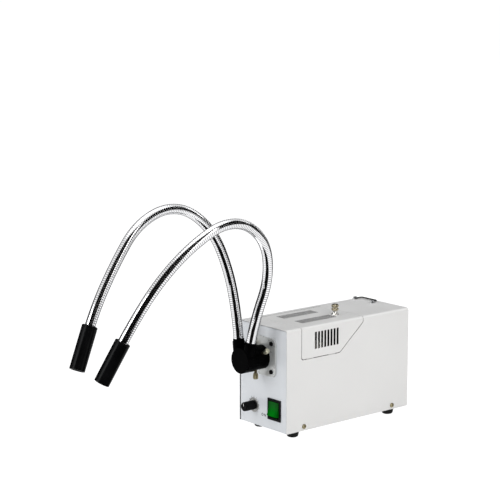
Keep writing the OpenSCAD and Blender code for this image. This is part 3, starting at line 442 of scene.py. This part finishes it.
def turned(profile, steps=64):
    """A closed solid of revolution about Z from (radius, height) points, in millimetres."""
    shape = bmesh.new()
    verts = [shape.verts.new((r * MM, 0, z * MM)) for r, z in profile]
    edges = [shape.edges.new(pair) for pair in zip(verts, verts[1:])]
    bmesh.ops.spin(
        shape, geom=verts + edges, cent=(0, 0, 0), axis=(0, 0, 1), angle=2 * pi,
        steps=steps, use_merge=True, use_duplicate=False)
    bmesh.ops.remove_doubles(shape, verts=shape.verts, dist=1e-7)
    bmesh.ops.recalc_face_normals(shape, faces=shape.faces)
    return shape


def knurled(radius, low, high, teeth, depth, edge):
    """A toothed rim about Z, in millimetres: every other point lies back by the depth."""
    shape = bmesh.new()
    ring = bmesh.ops.create_circle(
        shape, cap_ends=True, radius=radius * MM, segments=2 * teeth)["verts"]
    for n, vert in enumerate(ring):
        if n % 2:
            vert.co *= (radius - depth) / radius
        vert.co.z = low * MM
    top = bmesh.ops.extrude_face_region(shape, geom=list(shape.faces))["geom"]
    upper = [v for v in top if isinstance(v, bmesh.types.BMVert)]
    bmesh.ops.translate(shape, verts=upper, vec=(0, 0, (high - low) * MM))
    bmesh.ops.recalc_face_normals(shape, faces=shape.faces)
    rims = [e for e in shape.edges if abs(e.verts[0].co.z - e.verts[1].co.z) < 1e-7]
    bevel(shape, rims, edge * MM)
    return shape


def joined(shapes):
    """Several closed shapes in one."""
    whole = bmesh.new()
    for shape in shapes:
        spare = as_mesh(shape)
        whole.from_mesh(spare)
        bpy.data.meshes.remove(spare)
    return whole


def placed(shape, matrix):
    """The shape, moved by the matrix."""
    bmesh.ops.transform(shape, matrix=matrix, verts=shape.verts)
    return shape


def at(x, y, z):
    """A shift, in millimetres."""
    return Matrix.Translation(Vector((x, y, z)) * MM)


def prism(sides, radius, low, high):
    """An upright prism about Z, in millimetres."""
    shape = bmesh.new()
    made = bmesh.ops.create_cone(
        shape, cap_ends=True, segments=sides, radius1=radius * MM, radius2=radius * MM,
        depth=(high - low) * MM)["verts"]
    bmesh.ops.translate(shape, verts=made, vec=(0, 0, (high + low) / 2 * MM))
    return shape


def block(width, depth, low, high):
    """An upright block centred on Z, in millimetres."""
    shape = bmesh.new()
    made = bmesh.ops.create_cube(shape, size=MM)["verts"]
    bmesh.ops.scale(shape, verts=made, vec=(width, depth, high - low))
    bmesh.ops.translate(shape, verts=made, vec=(0, 0, (high + low) / 2 * MM))
    return shape


def as_mesh(shape, name="spare"):
    """A mesh of the shape, which is used up."""
    mesh = bpy.data.meshes.new(name)
    shape.to_mesh(mesh)
    shape.free()
    return mesh


def in_scene(name, data):
    """A new object in the scene that holds the mesh, lamp or camera."""
    made = bpy.data.objects.new(name, data)
    bpy.context.scene.collection.objects.link(made)
    return made


def cut(shape, cutter):
    """The shape with a recess where the cutter was."""
    solid = in_scene("solid", as_mesh(shape))
    knife = in_scene("knife", as_mesh(cutter))
    recess = solid.modifiers.new("recess", "BOOLEAN")
    recess.object = knife
    recess.operation = "DIFFERENCE"
    recess.solver = "EXACT"
    graph = bpy.context.evaluated_depsgraph_get()
    result = bpy.data.meshes.new_from_object(solid.evaluated_get(graph))
    left = bmesh.new()
    left.from_mesh(result)
    for thing in (solid, knife):
        mesh = thing.data
        bpy.data.objects.remove(thing)
        bpy.data.meshes.remove(mesh)
    bpy.data.meshes.remove(result)
    return left


def piece(name, shape, material, node, replaces=True, smooth=SHARP):
    """A finished piece that rides with a node's body and usually stands for the node."""
    shaded_smooth(shape, smooth)
    made = in_scene(name, as_mesh(shape, name))
    made.data.materials.append(material)
    even = made.modifiers.new("even_light", "WEIGHTED_NORMAL")
    even.keep_sharp = True
    if replaces:
        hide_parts(node)
    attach(made, body_of[node])
    return made


def dressed(node, material, size, steps=2):
    """A node with its sharp edges broken, by a size in millimetres."""
    shape = copy_of(node)
    bevel(shape, sharp_edges(shape), size * MM, steps)
    return piece(node + "_dressed", shape, material, node)


TO_FRONT = Matrix.Rotation(pi / 2, 4, "X")
TO_BACK = Matrix.Rotation(-pi / 2, 4, "X")
TO_RIGHT = Matrix.Rotation(pi / 2, 4, "Y")
TO_LEFT = Matrix.Rotation(-pi / 2, 4, "Y")


def joint(name):
    """A joint's place and axis, as a frame whose Z runs along the axis."""
    found = next(j for j in frame["joints"] if j["name"] == name)
    turn = Vector(found["axis"]).to_track_quat("Z", "Y").to_matrix().to_4x4()
    return Matrix.Translation(found.get("pos_m", (0, 0, 0))) @ turn


def corners(node):
    """The lowest and the highest corner of a node's box, in millimetres."""
    return tuple(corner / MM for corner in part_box(node))


# ---- camera, light and floor ----

HOUSE_MIDDLE = (0, -0.1, 0.15)
HOSES_X, HOSES_Y = 0.02, -0.28
FLOOR_REACH = 40

# solved from the edges of the lamp house in the photograph
CAMERA_AT = Vector((1.71137, -1.58340, 0.66619))
CAMERA_TURN = Euler((radians(79.855), 0, radians(49.882)))
FOCAL_PIXELS = 1660.06
IMAGE_PIXELS = 500


def make_camera():
    data = bpy.data.cameras.new("camera")
    data.sensor_width = 36
    data.lens = FOCAL_PIXELS / IMAGE_PIXELS * data.sensor_width
    camera = in_scene("camera", data)
    camera.location = CAMERA_AT
    camera.rotation_euler = CAMERA_TURN
    bpy.context.scene.camera = camera


def softbox(name, at, width, height, watts, colour=(1, 1, 1), aim=HOUSE_MIDDLE):
    data = bpy.data.lights.new(name, "AREA")
    data.shape = "RECTANGLE"
    data.size = width
    data.size_y = height
    data.energy = watts
    data.color = colour
    lamp = in_scene(name, data)
    lamp.location = at
    lamp.rotation_euler = (Vector(aim) - Vector(at)).to_track_quat("-Z", "Y").to_euler()


def seen_rays(material):
    """1 for what the camera sees, directly or in metal and glass, and 0 for light on the part."""
    path = add(material, "LightPath").outputs
    total = path["Is Camera Ray"]
    for name in ("Is Glossy Ray", "Is Transmission Ray"):
        total = add(material, "Math", {0: total, 1: path[name]}, operation="MAXIMUM").outputs[0]
    return total


def make_world():
    """Soft light from all round, and plain white where the camera sees past the object."""
    world = bpy.data.worlds.new("studio")
    bpy.context.scene.world = world
    world.use_nodes = True
    world.node_tree.nodes.clear()
    light = add(world, "Background", {"Color": (0.93, 0.95, 1.0, 1), "Strength": 0.42})
    white = add(world, "Background", {"Color": (1, 1, 1, 1), "Strength": 1.0})
    either = add(world, "MixShader", {
        0: seen_rays(world), 1: light.outputs[0], 2: white.outputs[0]})
    out = add(world, "OutputWorld")
    plug(world, out.inputs["Surface"], either.outputs[0])


def make_floor():
    """A pale floor that looks white to the camera and keeps a soft shadow."""
    shape = bmesh.new()
    bmesh.ops.create_grid(shape, x_segments=4, y_segments=4, size=FLOOR_REACH)
    floor = in_scene("floor", as_mesh(shape, "floor"))
    material, _ = shader("pale_floor", (0.86, 0.86, 0.86), 0.9, Specular_IOR_Level=0.0)
    glow = add(material, "Emission", {"Color": (1, 1, 1, 1), "Strength": 1.3})
    glow_share = 0.72
    share = add(material, "Math", {0: seen_rays(material), 1: glow_share}, operation="MULTIPLY")
    out = material.node_tree.nodes["Material Output"]
    matt = material.node_tree.nodes["Principled BSDF"].outputs[0]
    both = add(material, "MixShader", {0: share.outputs[0], 1: matt, 2: glow.outputs[0]})
    plug(material, out.inputs["Surface"], both.outputs[0])
    floor.data.materials.append(material)


def dark_card(name, at, width, height, aim):
    """A black flag that shows in reflections alone, as round a bright object in a studio."""
    shape = bmesh.new()
    bmesh.ops.create_grid(shape, x_segments=1, y_segments=1, size=0.5)
    turn = (Vector(aim) - Vector(at)).to_track_quat("-Z", "Y").to_matrix().to_4x4()
    placed(shape, Matrix.Translation(at) @ turn @ Matrix.Diagonal((width, height, 1, 1)))
    material, _ = shader(name, (0.004, 0.004, 0.004), 1.0, Specular_IOR_Level=0.0)
    card = in_scene(name, as_mesh(shape, name))
    card.data.materials.append(material)
    card.visible_camera = False
    card.visible_diffuse = False
    card.visible_shadow = False


bpy.context.scene.view_settings.view_transform = "Standard"
make_camera()
make_world()
make_floor()
softbox("right_box", (2.2, -0.6, 1.0), 1.6, 1.6, 26, (1.0, 0.985, 0.96))
softbox("front_box", (-0.4, -2.6, 1.1), 1.4, 1.4, 27, (0.97, 0.985, 1.0))
softbox("top_box", (-0.3, -0.3, 2.4), 1.8, 1.8, 18)
softbox("edge_box", (0.60, 0.95, 0.95), 0.5, 0.5, 3.2, aim=(0.05, 0, 0.16))
dark_card("near_flag", (0.34, -0.58, 0.50), 0.9, 1.1, (HOSES_X, HOSES_Y, 0.50))
dark_card("far_flag", (-0.34, 0.05, 0.30), 1.9, 0.6, (HOSES_X, HOSES_Y, 0.30))
dark_card("side_flag", (0.50, 0.22, 0.62), 0.7, 0.8, (HOSES_X, HOSES_Y, 0.25))
dark_card("left_wing", (-0.83, -0.75, 0.30), 0.4, 0.6, (HOSES_X, HOSES_Y, 0.30))
dark_card("right_wing", (0.43, 0.60, 0.30), 0.4, 0.6, (HOSES_X, HOSES_Y, 0.30))
dark_card("low_flag", (0.25, -0.44, 0.004), 0.5, 0.45, (0.25, -0.44, 1))


# ---- lamp house ----

# an M4 screw's head height and shank radius, in millimetres
HEAD_H, SHANK_R = 2.0, 2.0


def wire_through(points, radius, steps=12):
    """A round wire along points in millimetres, closed at both ends."""
    curve = bpy.data.curves.new("wire", "CURVE")
    curve.dimensions = "3D"
    curve.bevel_depth = radius * MM
    curve.bevel_resolution = steps // 4
    curve.use_fill_caps = True
    line = curve.splines.new("POLY")
    line.points.add(len(points) - 1)
    for point, at in zip(line.points, points):
        point.co = (*(Vector(at) * MM), 1)
    holder = bpy.data.objects.new("wire", curve)
    mesh = bpy.data.meshes.new_from_object(holder)
    shape = bmesh.new()
    shape.from_mesh(mesh)
    bpy.data.objects.remove(holder)
    bmesh.ops.remove_doubles(shape, verts=shape.verts, dist=1e-6)
    bmesh.ops.recalc_face_normals(shape, faces=shape.faces)
    return shape


def pan_head(radius, shank, recess):
    """A screw about Z with a recess in its head, its seat at 0 and its shank below.

    Millimetres; the recess is "hex" or "cross".
    """
    dome = [(radius, 0), (radius, HEAD_H * 0.35), (radius * 0.93, HEAD_H * 0.7),
            (radius * 0.7, HEAD_H * 0.93), (radius * 0.35, HEAD_H), (0, HEAD_H)]
    solid = turned([(0, -shank), (SHANK_R * 0.8, -shank), (SHANK_R, -shank + 0.5),
                    (SHANK_R, 0)] + dome, 32)
    if recess == "hex":
        return cut(solid, prism(6, radius * 0.5, HEAD_H * 0.3, HEAD_H + 1))
    for width, depth in ((radius * 1.15, radius * 0.26), (radius * 0.26, radius * 1.15)):
        solid = cut(solid, block(width, depth, HEAD_H * 0.35, HEAD_H + 1))
    return solid


def screws(node, material, radius, shank, places, turn, recess="cross"):
    """A node's screws, in millimetres, each turned to another angle as by hand."""
    first, further = 25, 37
    heads = []
    for n, (x, y, z) in enumerate(places):
        spin = Matrix.Rotation(radians(first + further * n), 4, "Z")
        toward = turn(n) if callable(turn) else turn
        heads.append(placed(pan_head(radius, shank, recess), at(x, y, z) @ toward @ spin))
    return piece(node + "_recessed", joined(heads), material, node)


def shade_inside(sheet):
    """The faces of a bent sheet that look into the house are painted dark, as painted shade for the dim inside of
    the house.
    """
    sheet.data.materials.append(PAINTED_INSIDE_SHADE)
    middle, inward = 80 * MM, -0.3
    for face in sheet.data.polygons:
        outward = Vector((face.center.x, 0, face.center.z - middle)).normalized()
        if face.normal.dot(outward) < inward:
            face.material_index = 1


def shade_vents(door):
    """The walls of the door's vents, dark with painted shade, keep a material of their own."""
    door.data.materials.append(PAINTED_VENT_SHADE)
    low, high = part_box("lamp_door")
    skin, rim, bend = 2 * MM, 6 * MM, 10 * MM
    vents_low, vents_high = low.z + 20 * MM, high.z - 8 * MM
    for face in door.data.polygons:
        spot, across = face.center, face.normal
        in_side = abs(across.x) < 0.97 and spot.x > high.x - skin
        in_top = abs(across.z) < 0.5 and spot.z > high.z - skin
        clear_of_rim = low.y + rim < spot.y < high.y - rim
        if clear_of_rim and (
            in_side and vents_low < spot.z < vents_high
            or in_top and low.x + rim < spot.x < high.x - bend
        ):
            face.material_index = 2


def make_house():
    shade_inside(dressed("housing_cover", COVER_PAINT, 0.4))
    door = dressed("lamp_door", COVER_PAINT, 0.3)
    shade_inside(door)
    shade_vents(door)
    dressed("front_panel", PANEL_PAINT, 0.4)
    dressed("rear_panel", PANEL_PAINT, 0.3)
    dressed("base_chassis", ZINC, 0.3)
    dressed("rubber_feet", RUBBER, 0.6)
    low, high = corners("cover_screws")
    head_r, shank = (high.z - low.z) / 2, 4.0
    places = [(x, y, (low.z + high.z) / 2) for x in (low.x + HEAD_H, high.x - HEAD_H)
              for y in (low.y + head_r, high.y - head_r)]
    screws("cover_screws", DULL_BRASS, head_r, shank, places,
        lambda n: TO_LEFT if n < 2 else TO_RIGHT)


def make_door_screw():
    """The flared post on the door, and the knurled screw that stands on it."""
    low, high = corners("door_post")
    post = high.z - low.z
    flare = [(2.05, 0), (5.5, 0), (5.5, 0.7), (4.9, 1.1), (4.1, 1.8), (3.5, 2.7), (3.2, 3.6),
             (3.3, 4.3), (3.9, 4.8), (4.1, post - 0.3), (3.8, post), (2.05, post), (2.05, 0)]
    foot = at((low.x + high.x) / 2, (low.y + high.y) / 2, low.z)
    piece("door_post_flared", placed(turned(flare), foot), NICKEL, "door_post")
    under, top = corners("door_screw")
    seat, head = low.z + post, top.z - low.z - post
    stem = [(0, under.z - seat), (1.7, under.z - seat), (2, under.z - seat + 0.5), (2, 0),
            (3.4, 0), (3.4, 0.3), (0, 0.3)]
    waist = [(0, 2.6), (3.6, 2.6), (3.6, 4.6), (0, 4.6)]
    crown = [(0, head - 1.2), (4.5, head - 1.2), (4.2, head - 0.5), (3.2, head), (1.2, head),
             (1.0, head - 0.3), (0, head - 0.3)]
    knob = joined([
        turned(stem), knurled(5.3, 0.3, 2.6, 32, 0.35, 0.3), turned(waist),
        knurled(5.3, 4.6, head - 1.2, 32, 0.35, 0.4), turned(crown)])
    piece("door_screw_knurled", placed(knob, foot @ at(0, 0, post)), CHAMPAGNE, "door_screw")


def make_handle():
    """The small wire handle that lies on the top, and its ears."""
    dressed("handle_ears", ZINC, 0.25)
    low, high = corners("handle_bail")
    pivot = joint("handle_fold").translation / MM
    pin, bend, turn, wire_r, back = 3.5, 3.0, 0.7, 1.0, 1.2
    reach, legs = high.y - back - pivot.y, (high.x - low.x) / 2 - pin
    middle_x = (low.x + high.x) / 2
    # half of the wire: the pin in its ear, the turn, the leg and the bend of the bow
    half = [(legs + pin, 0), (legs + turn, 0)]
    half += [(legs + turn * (1 - sin(radians(a))), turn * (1 - cos(radians(a))))
             for a in range(15, 91, 15)]
    half += [(legs - bend * (1 - cos(radians(a))), reach - bend * (1 - sin(radians(a))))
             for a in range(0, 91, 15)]
    points = [(middle_x + x, pivot.y + y, pivot.z) for x, y in half]
    points += [(middle_x - x, pivot.y + y, pivot.z) for x, y in reversed(half)]
    piece("handle_wire", wire_through(points, wire_r), DARK_STEEL, "handle_bail", smooth=80)


make_house()
make_door_screw()
make_handle()


# ---- light port ----


def make_port():
    """The flange on the front panel, its four screws and the black collar."""
    dressed("port_flange", PORT_PAINT, 0.5, 3)
    dressed("port_collar", DEEP_BLACK, 0.6, 3)
    low, high = corners("flange_screws")
    head_r = 3.3
    places = [(x, low.y + HEAD_H, z) for x in (low.x + head_r, high.x - head_r)
              for z in (low.z + head_r, high.z - head_r)]
    screws("flange_screws", BLACK_METAL, head_r, high.y - low.y - HEAD_H, places, TO_FRONT,
        "hex")


def make_clamps():
    """Three radial screws that hold the light guide, each a stud under a knurled head."""
    stud_out, length = 22.0, 8.5
    # the right head takes the paler brass and the lower and left heads the duller one: painted light and shade on
    # copies of one brass
    for side, metal in (("lower", DULL_BRASS), ("right", PALE_BRASS), ("left", DULL_BRASS)):
        neck = turned([(2.05, stud_out), (2.9, stud_out), (3.0, stud_out + 0.3),
                       (3.0, stud_out + 1.5), (2.05, stud_out + 1.5), (2.05, stud_out)])
        end = stud_out + length
        cap = turned([(0, end - 0.8), (3.2, end - 0.8), (3.1, end - 0.3), (2.5, end),
                      (0, end)])
        grip = knurled(3.6, stud_out + 1.5, end - 0.8, 26, 0.28, 0.35)
        head = placed(joined([neck, grip, cap]), joint(f"clamp_{side}_turn"))
        piece(f"clamp_{side}_knurled", head, metal, "clamp_head_" + side)


make_port()
make_clamps()


# ---- hoses ----

# millimetres
RIB = 3.0
GROOVE = 0.4
HOSE_R = 7.0
ARC = 65.0
HOSE_SIDES = 28
RIB_SHARP = 25  # degrees between the faces of a rib
SLEEVE = Vector((13.5, -150.7, 140.5))  # where the right arm starts

# the degrees that each arm leans over, and that it turns by along each of its arcs
ARMS = {
    "left": {"side": -1, "lean": -6, "turns": [8, 14, 34, 50, 34, 6, 9]},
    "right": {"side": 1, "lean": 14, "turns": [-12, 33, 43, 54, 17, 14, 6]},
}

# lengths along an arm: the ends of its three pieces, and where each of them bends
HOSE_FROM, LOWER_END, MIDDLE_END, HOSE_TO = -12.0, 75, 250, 453.0
LOWER_BEND, MIDDLE_BEND, UPPER_BEND = (8, 52), (90, 150), (350, 420)


def on_arm(arm, s):
    """A frame s millimetres along an arm: X across it, Y to its inner side, Z along it."""
    forward, up, heading, left = 0.0, 0.0, 0.0, s
    for n, turn in enumerate(arm["turns"]):
        last = n == len(arm["turns"]) - 1
        part = left if left < ARC or last else ARC
        angle = radians(turn) * part / ARC if part > 0 else 0.0
        if abs(angle) < 1e-6:
            forward += part * sin(heading)
            up += part * cos(heading)
        else:
            forward += part / angle * (cos(heading) - cos(heading + angle))
            up += part / angle * (sin(heading + angle) - sin(heading))
        heading += angle
        left -= part
        if left <= 0:
            break
    at = Vector((SLEEVE.x * arm["side"], SLEEVE.y, SLEEVE.z)) * MM
    lean = Matrix.Translation(at) @ Matrix.Rotation(radians(arm["lean"]), 4, "Y")
    return (lean @ Matrix.Translation(Vector((0, -forward, up)) * MM)
            @ Matrix.Rotation(heading, 4, "X"))


def hose_profile(s0, s1):
    """Flat-topped ribs with narrow grooves between them, as (radius, length) points."""
    # one rib: how far from its middle, in half pitches, and how much of its full height
    crest = [(-0.86, 0.3), (-0.74, 1), (0.74, 1), (0.86, 0.3)]
    count = round((s1 - s0) / RIB)
    pitch = (s1 - s0) / count
    points = [(0, s0), (HOSE_R - GROOVE, s0)]
    for n in range(count):
        mid = s0 + (n + 0.5) * pitch
        points += [(HOSE_R - GROOVE * (1 - rise), mid + across * pitch / 2)
                   for across, rise in crest]
        points.append((HOSE_R - GROOVE, s0 + (n + 1) * pitch))
    return points + [(0, s1)]


def hose_piece(name, arm, s0, s1, bend, replaced):
    """One stretch of hose, bent onto its arm."""
    shape = turned(hose_profile(s0, s1), HOSE_SIDES)
    depth = shape.verts.layers.float.new("groove")
    frames = {}
    for vert in shape.verts:
        radius = Vector((vert.co.x, vert.co.y)).length / MM
        vert[depth] = min(1.0, max(0.0, (HOSE_R - radius) / GROOVE))
        s = vert.co.z / MM
        key = round(s, 4)
        if key not in frames:
            frames[key] = on_arm(arm, s)
        vert.co = frames[key] @ Vector((vert.co.x, vert.co.y, 0))
    shaded_smooth(shape, RIB_SHARP)
    made = in_scene(name, as_mesh(shape, name))
    made.data.materials.append(CHROME)
    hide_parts(*replaced)
    start, end = (on_arm(arm, s).translation for s in bend)
    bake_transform(made)
    return made


def make_hoses():
    for side, arm in ARMS.items():
        hose = side + "_hose_"
        hose_piece(hose + "lower", arm, HOSE_FROM, LOWER_END, LOWER_BEND,
            [hose + "root"])
        hose_piece(hose + "middle", arm, LOWER_END, MIDDLE_END, MIDDLE_BEND,
            [hose + "rise"])
        hose_piece(hose + "upper", arm, MIDDLE_END, HOSE_TO, UPPER_BEND,
            [hose + "arch", hose + "end"])


make_hoses()


# ---- splitter, heads and ferrule ----


def make_head(side, arm):
    """The black barrel at an arm's end, with the polished face of its fibres set in the nose."""
    grip, nose, r = -10.0, 50.0, 10.5
    outside = [(7.05, grip), (9.3, grip), (10.0, grip + 0.3), (r, grip + 0.9), (r, grip + 3),
               (r - 0.2, grip + 3.2), (r - 0.2, grip + 3.6), (r, grip + 3.8),
               (r, nose - 5), (r - 0.15, nose - 4.9), (r - 0.15, nose - 4.4), (r, nose - 4.3),
               (r, nose - 0.6), (r - 0.2, nose - 0.2), (r - 0.7, nose)]
    inside = [(r - 1.5, nose), (r - 2.4, nose - 1.2), (5.4, nose - 1.5), (5.0, nose - 1.3),
              (4.05, nose - 1.3), (4.05, 0.3), (7.05, 0.3), (7.05, grip)]
    end = on_arm(arm, ARC * len(arm["turns"]))
    piece(side + "_barrel", placed(turned(outside + inside, 72), end), BLACK_METAL, side + "_head")
    face = [(0, 0.5), (3.8, 0.5), (4.0, 0.8), (4.0, nose - 1.7), (3.8, nose - 1.5),
            (0, nose - 1.45)]
    piece(side + "_fibre_face", placed(turned(face, 48), end), FIBRE, side + "_fibre_tip")


def make_guide():
    dressed("splitter_block", DEEP_BLACK, 0.8, 3)
    dressed("hose_sleeves", DEEP_BLACK, 0.4, 3)
    for side, arm in ARMS.items():
        make_head(side, arm)


make_guide()


# ---- controls ----


# millimetres, and degrees for the ticks
PANEL_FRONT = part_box("front_panel")[0].y / MM
DIMMER = joint("dimmer_turn").translation / MM
TICKS, FIRST_TICK, TICK_STEP = 11, 135, 27
ON_MARK_X, ON_MARK_Z = -3.6, 26.6


def make_switch():
    dressed("switch_bezel", BLACK_PLASTIC, 0.4, 3)
    dressed("rocker", GREEN, 0.5, 3)


def make_dial_ring(seat):
    ring_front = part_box("dial_ring")[0].y / MM
    thick = PANEL_FRONT - ring_front
    ring = [(3.9, 0), (10.4, 0), (10.4, thick * 0.4), (10.0, thick * 0.8), (9.4, thick),
            (8.6, thick), (8.3, thick - 0.3), (3.9, thick - 0.3), (3.9, 0)]
    piece("dial_ring_turned", placed(turned(ring, 72), seat), DIAL_STEEL, "dial_ring")


def make_knob(seat):
    """The fluted knob on its shaft, with a white pointer let into its face."""
    low, high = corners("dimmer_knob")
    back, front, shaft_end = 2.0, PANEL_FRONT - low.y, PANEL_FRONT - high.y
    skirt = turned([(0, back - 0.6), (3, back - 0.6), (3, back), (6.5, back), (6.7, back + 0.2),
                    (6.7, back + 1.2), (6.5, back + 1.5), (0, back + 1.5)], 72)
    grip = knurled(6.55, back + 1.5, front - 2.0, 30, 0.3, 0.2)
    crown = turned([(0, front - 2.0), (6.4, front - 2.0), (6.3, front - 1.2), (5.9, front - 0.5),
                    (5.1, front - 0.1), (4.4, front), (4.0, front - 0.25), (0, front - 0.3)], 72)
    shaft = turned([(0, shaft_end), (2.7, shaft_end), (3, shaft_end + 0.4), (3, back - 0.6),
                    (0, back - 0.6)])
    knob = placed(joined([shaft, skirt, grip, crown]), seat)
    piece("dimmer_knob_fluted", knob, KNOB_PLASTIC, "dimmer_knob")
    line = placed(block(0.8, 4.2, front - 0.4, front - 0.05), at(0, 3.0, 0))
    bevel(line, sharp_edges(line), 0.1 * MM)
    pointer = piece("knob_pointer", placed(line, seat), WHITE_LINE, "dimmer_knob", replaces=False)


def make_ticks(seat):
    """The ticks printed round the dimmer."""
    ticks = []
    for n in range(TICKS):
        mark = placed(block(0.5, 1.7, 0.0, 0.06), at(0, 12.0, 0))
        turn = radians(FIRST_TICK - TICK_STEP * n)
        ticks.append(placed(mark, Matrix.Rotation(turn, 4, "Z")))
    marks = piece("dial_ticks", placed(joined(ticks), seat), INK, "front_panel", replaces=False)


def make_dimmer():
    seat = at(DIMMER.x, PANEL_FRONT, DIMMER.z) @ TO_FRONT
    make_dial_ring(seat)
    make_knob(seat)
    make_ticks(seat)


def make_on_mark():
    """The word ON printed beside the switch."""
    thick = 0.03
    words = bpy.data.curves.new("on_mark", "FONT")
    words.body = "ON"
    words.size = 5.2 * MM
    words.space_character = 1.5
    words.extrude = thick * MM
    words.offset = 0.22 * MM
    holder = bpy.data.objects.new("on_mark", words)
    mesh = bpy.data.meshes.new_from_object(holder)
    bpy.data.objects.remove(holder)
    shape = bmesh.new()
    shape.from_mesh(mesh)
    bmesh.ops.remove_doubles(shape, verts=shape.verts, dist=1e-7)
    seat = at(ON_MARK_X, PANEL_FRONT - thick, ON_MARK_Z) @ TO_FRONT
    mark = piece("on_mark", placed(shape, seat), INK, "front_panel", replaces=False)


make_switch()
make_dimmer()
make_on_mark()


# ---- rear ----


def ring_of_wire(radius, wire, sides=10, steps=64):
    """A closed ring of round wire about Z, in millimetres."""
    section = [(radius + wire * cos(2 * pi * n / sides), wire * sin(2 * pi * n / sides))
               for n in range(sides)]
    return turned(section + section[:1], steps)


def make_fan_guard():
    """Welded wire guard over the fan, with an eye at each corner."""
    low, high = corners("fan_guard")
    eye_r, head_r, shank = 4.0, 3.4, 24.7
    hole, wire = (high.x - low.x) / 2 - eye_r, (high.y - low.y) / 2
    diagonal = hole * 1.414
    parts = [ring_of_wire(r, wire * 0.9) for r in (11.2, 19.2, 27.2, 35.2)]
    for quarter in (45, 135):
        bar = wire_through([(-diagonal, 0, 0), (diagonal, 0, 0)], wire * 0.8)
        parts.append(placed(bar, Matrix.Rotation(radians(quarter), 4, "Z")))
    for x in (-hole, hole):
        for y in (-hole, hole):
            eye = turned([(2.1, -wire), (3.9, -wire), (eye_r, 0), (3.9, wire), (2.1, wire),
                          (2.1, -wire)], 32)
            parts.append(placed(eye, at(x, y, 0)))
    centre = (low + high) / 2
    guard = placed(joined(parts), at(centre.x, centre.y, centre.z) @ TO_BACK)
    piece("fan_guard_welded", guard, NICKEL, "fan_guard")
    places = [(centre.x + x, high.y, centre.z + z) for x in (-hole, hole) for z in (-hole, hole)]
    screws("fan_screws", NICKEL, head_r, shank, places, TO_BACK)


def make_rear():
    make_fan_guard()
    dressed("fan_frame", BLACK_PLASTIC, 0.5)
    dressed("fan_rotor", BLACK_PLASTIC, 0.2)
    dressed("power_inlet", BLACK_PLASTIC, 0.4)
    dressed("fuse_drawer", BLACK_PLASTIC, 0.3)


make_rear()


# ---- finishes of the nodes that keep their own shape ----

KEPT = {
    # the clamp studs carry painted shade
    "foot_screws": NICKEL, "clamp_stud_lower": BRASS_IN_PAINTED_SHADE, "clamp_stud_right": BRASS_IN_PAINTED_SHADE,
    "clamp_stud_left": BRASS_IN_PAINTED_SHADE, "dimmer_pot": BLACK_PLASTIC, "ferrule": NICKEL,
    "fibre_bundle": FIBRE, "inlet_pins": BRASS,
    # the heat shield and lamp bracket carry painted shade
    "heat_shield": PAINTED_SHADE_STEEL, "lamp_bracket": PAINTED_SHADE_STEEL, "lamp_reflector": MIRROR,
    "lamp_capsule": LAMP_GLASS, "lamp_socket": CERAMIC, "heat_filter": FILTER_GLASS,
    "transformer_core": CORE, "transformer_winding": TAPE, "circuit_board": BOARD,
    "board_parts": CASES,
}


def finish_kept_nodes():
    for node, material in KEPT.items():
        for slot in nodes[node].material_slots:
            slot.material = material


finish_kept_nodes()
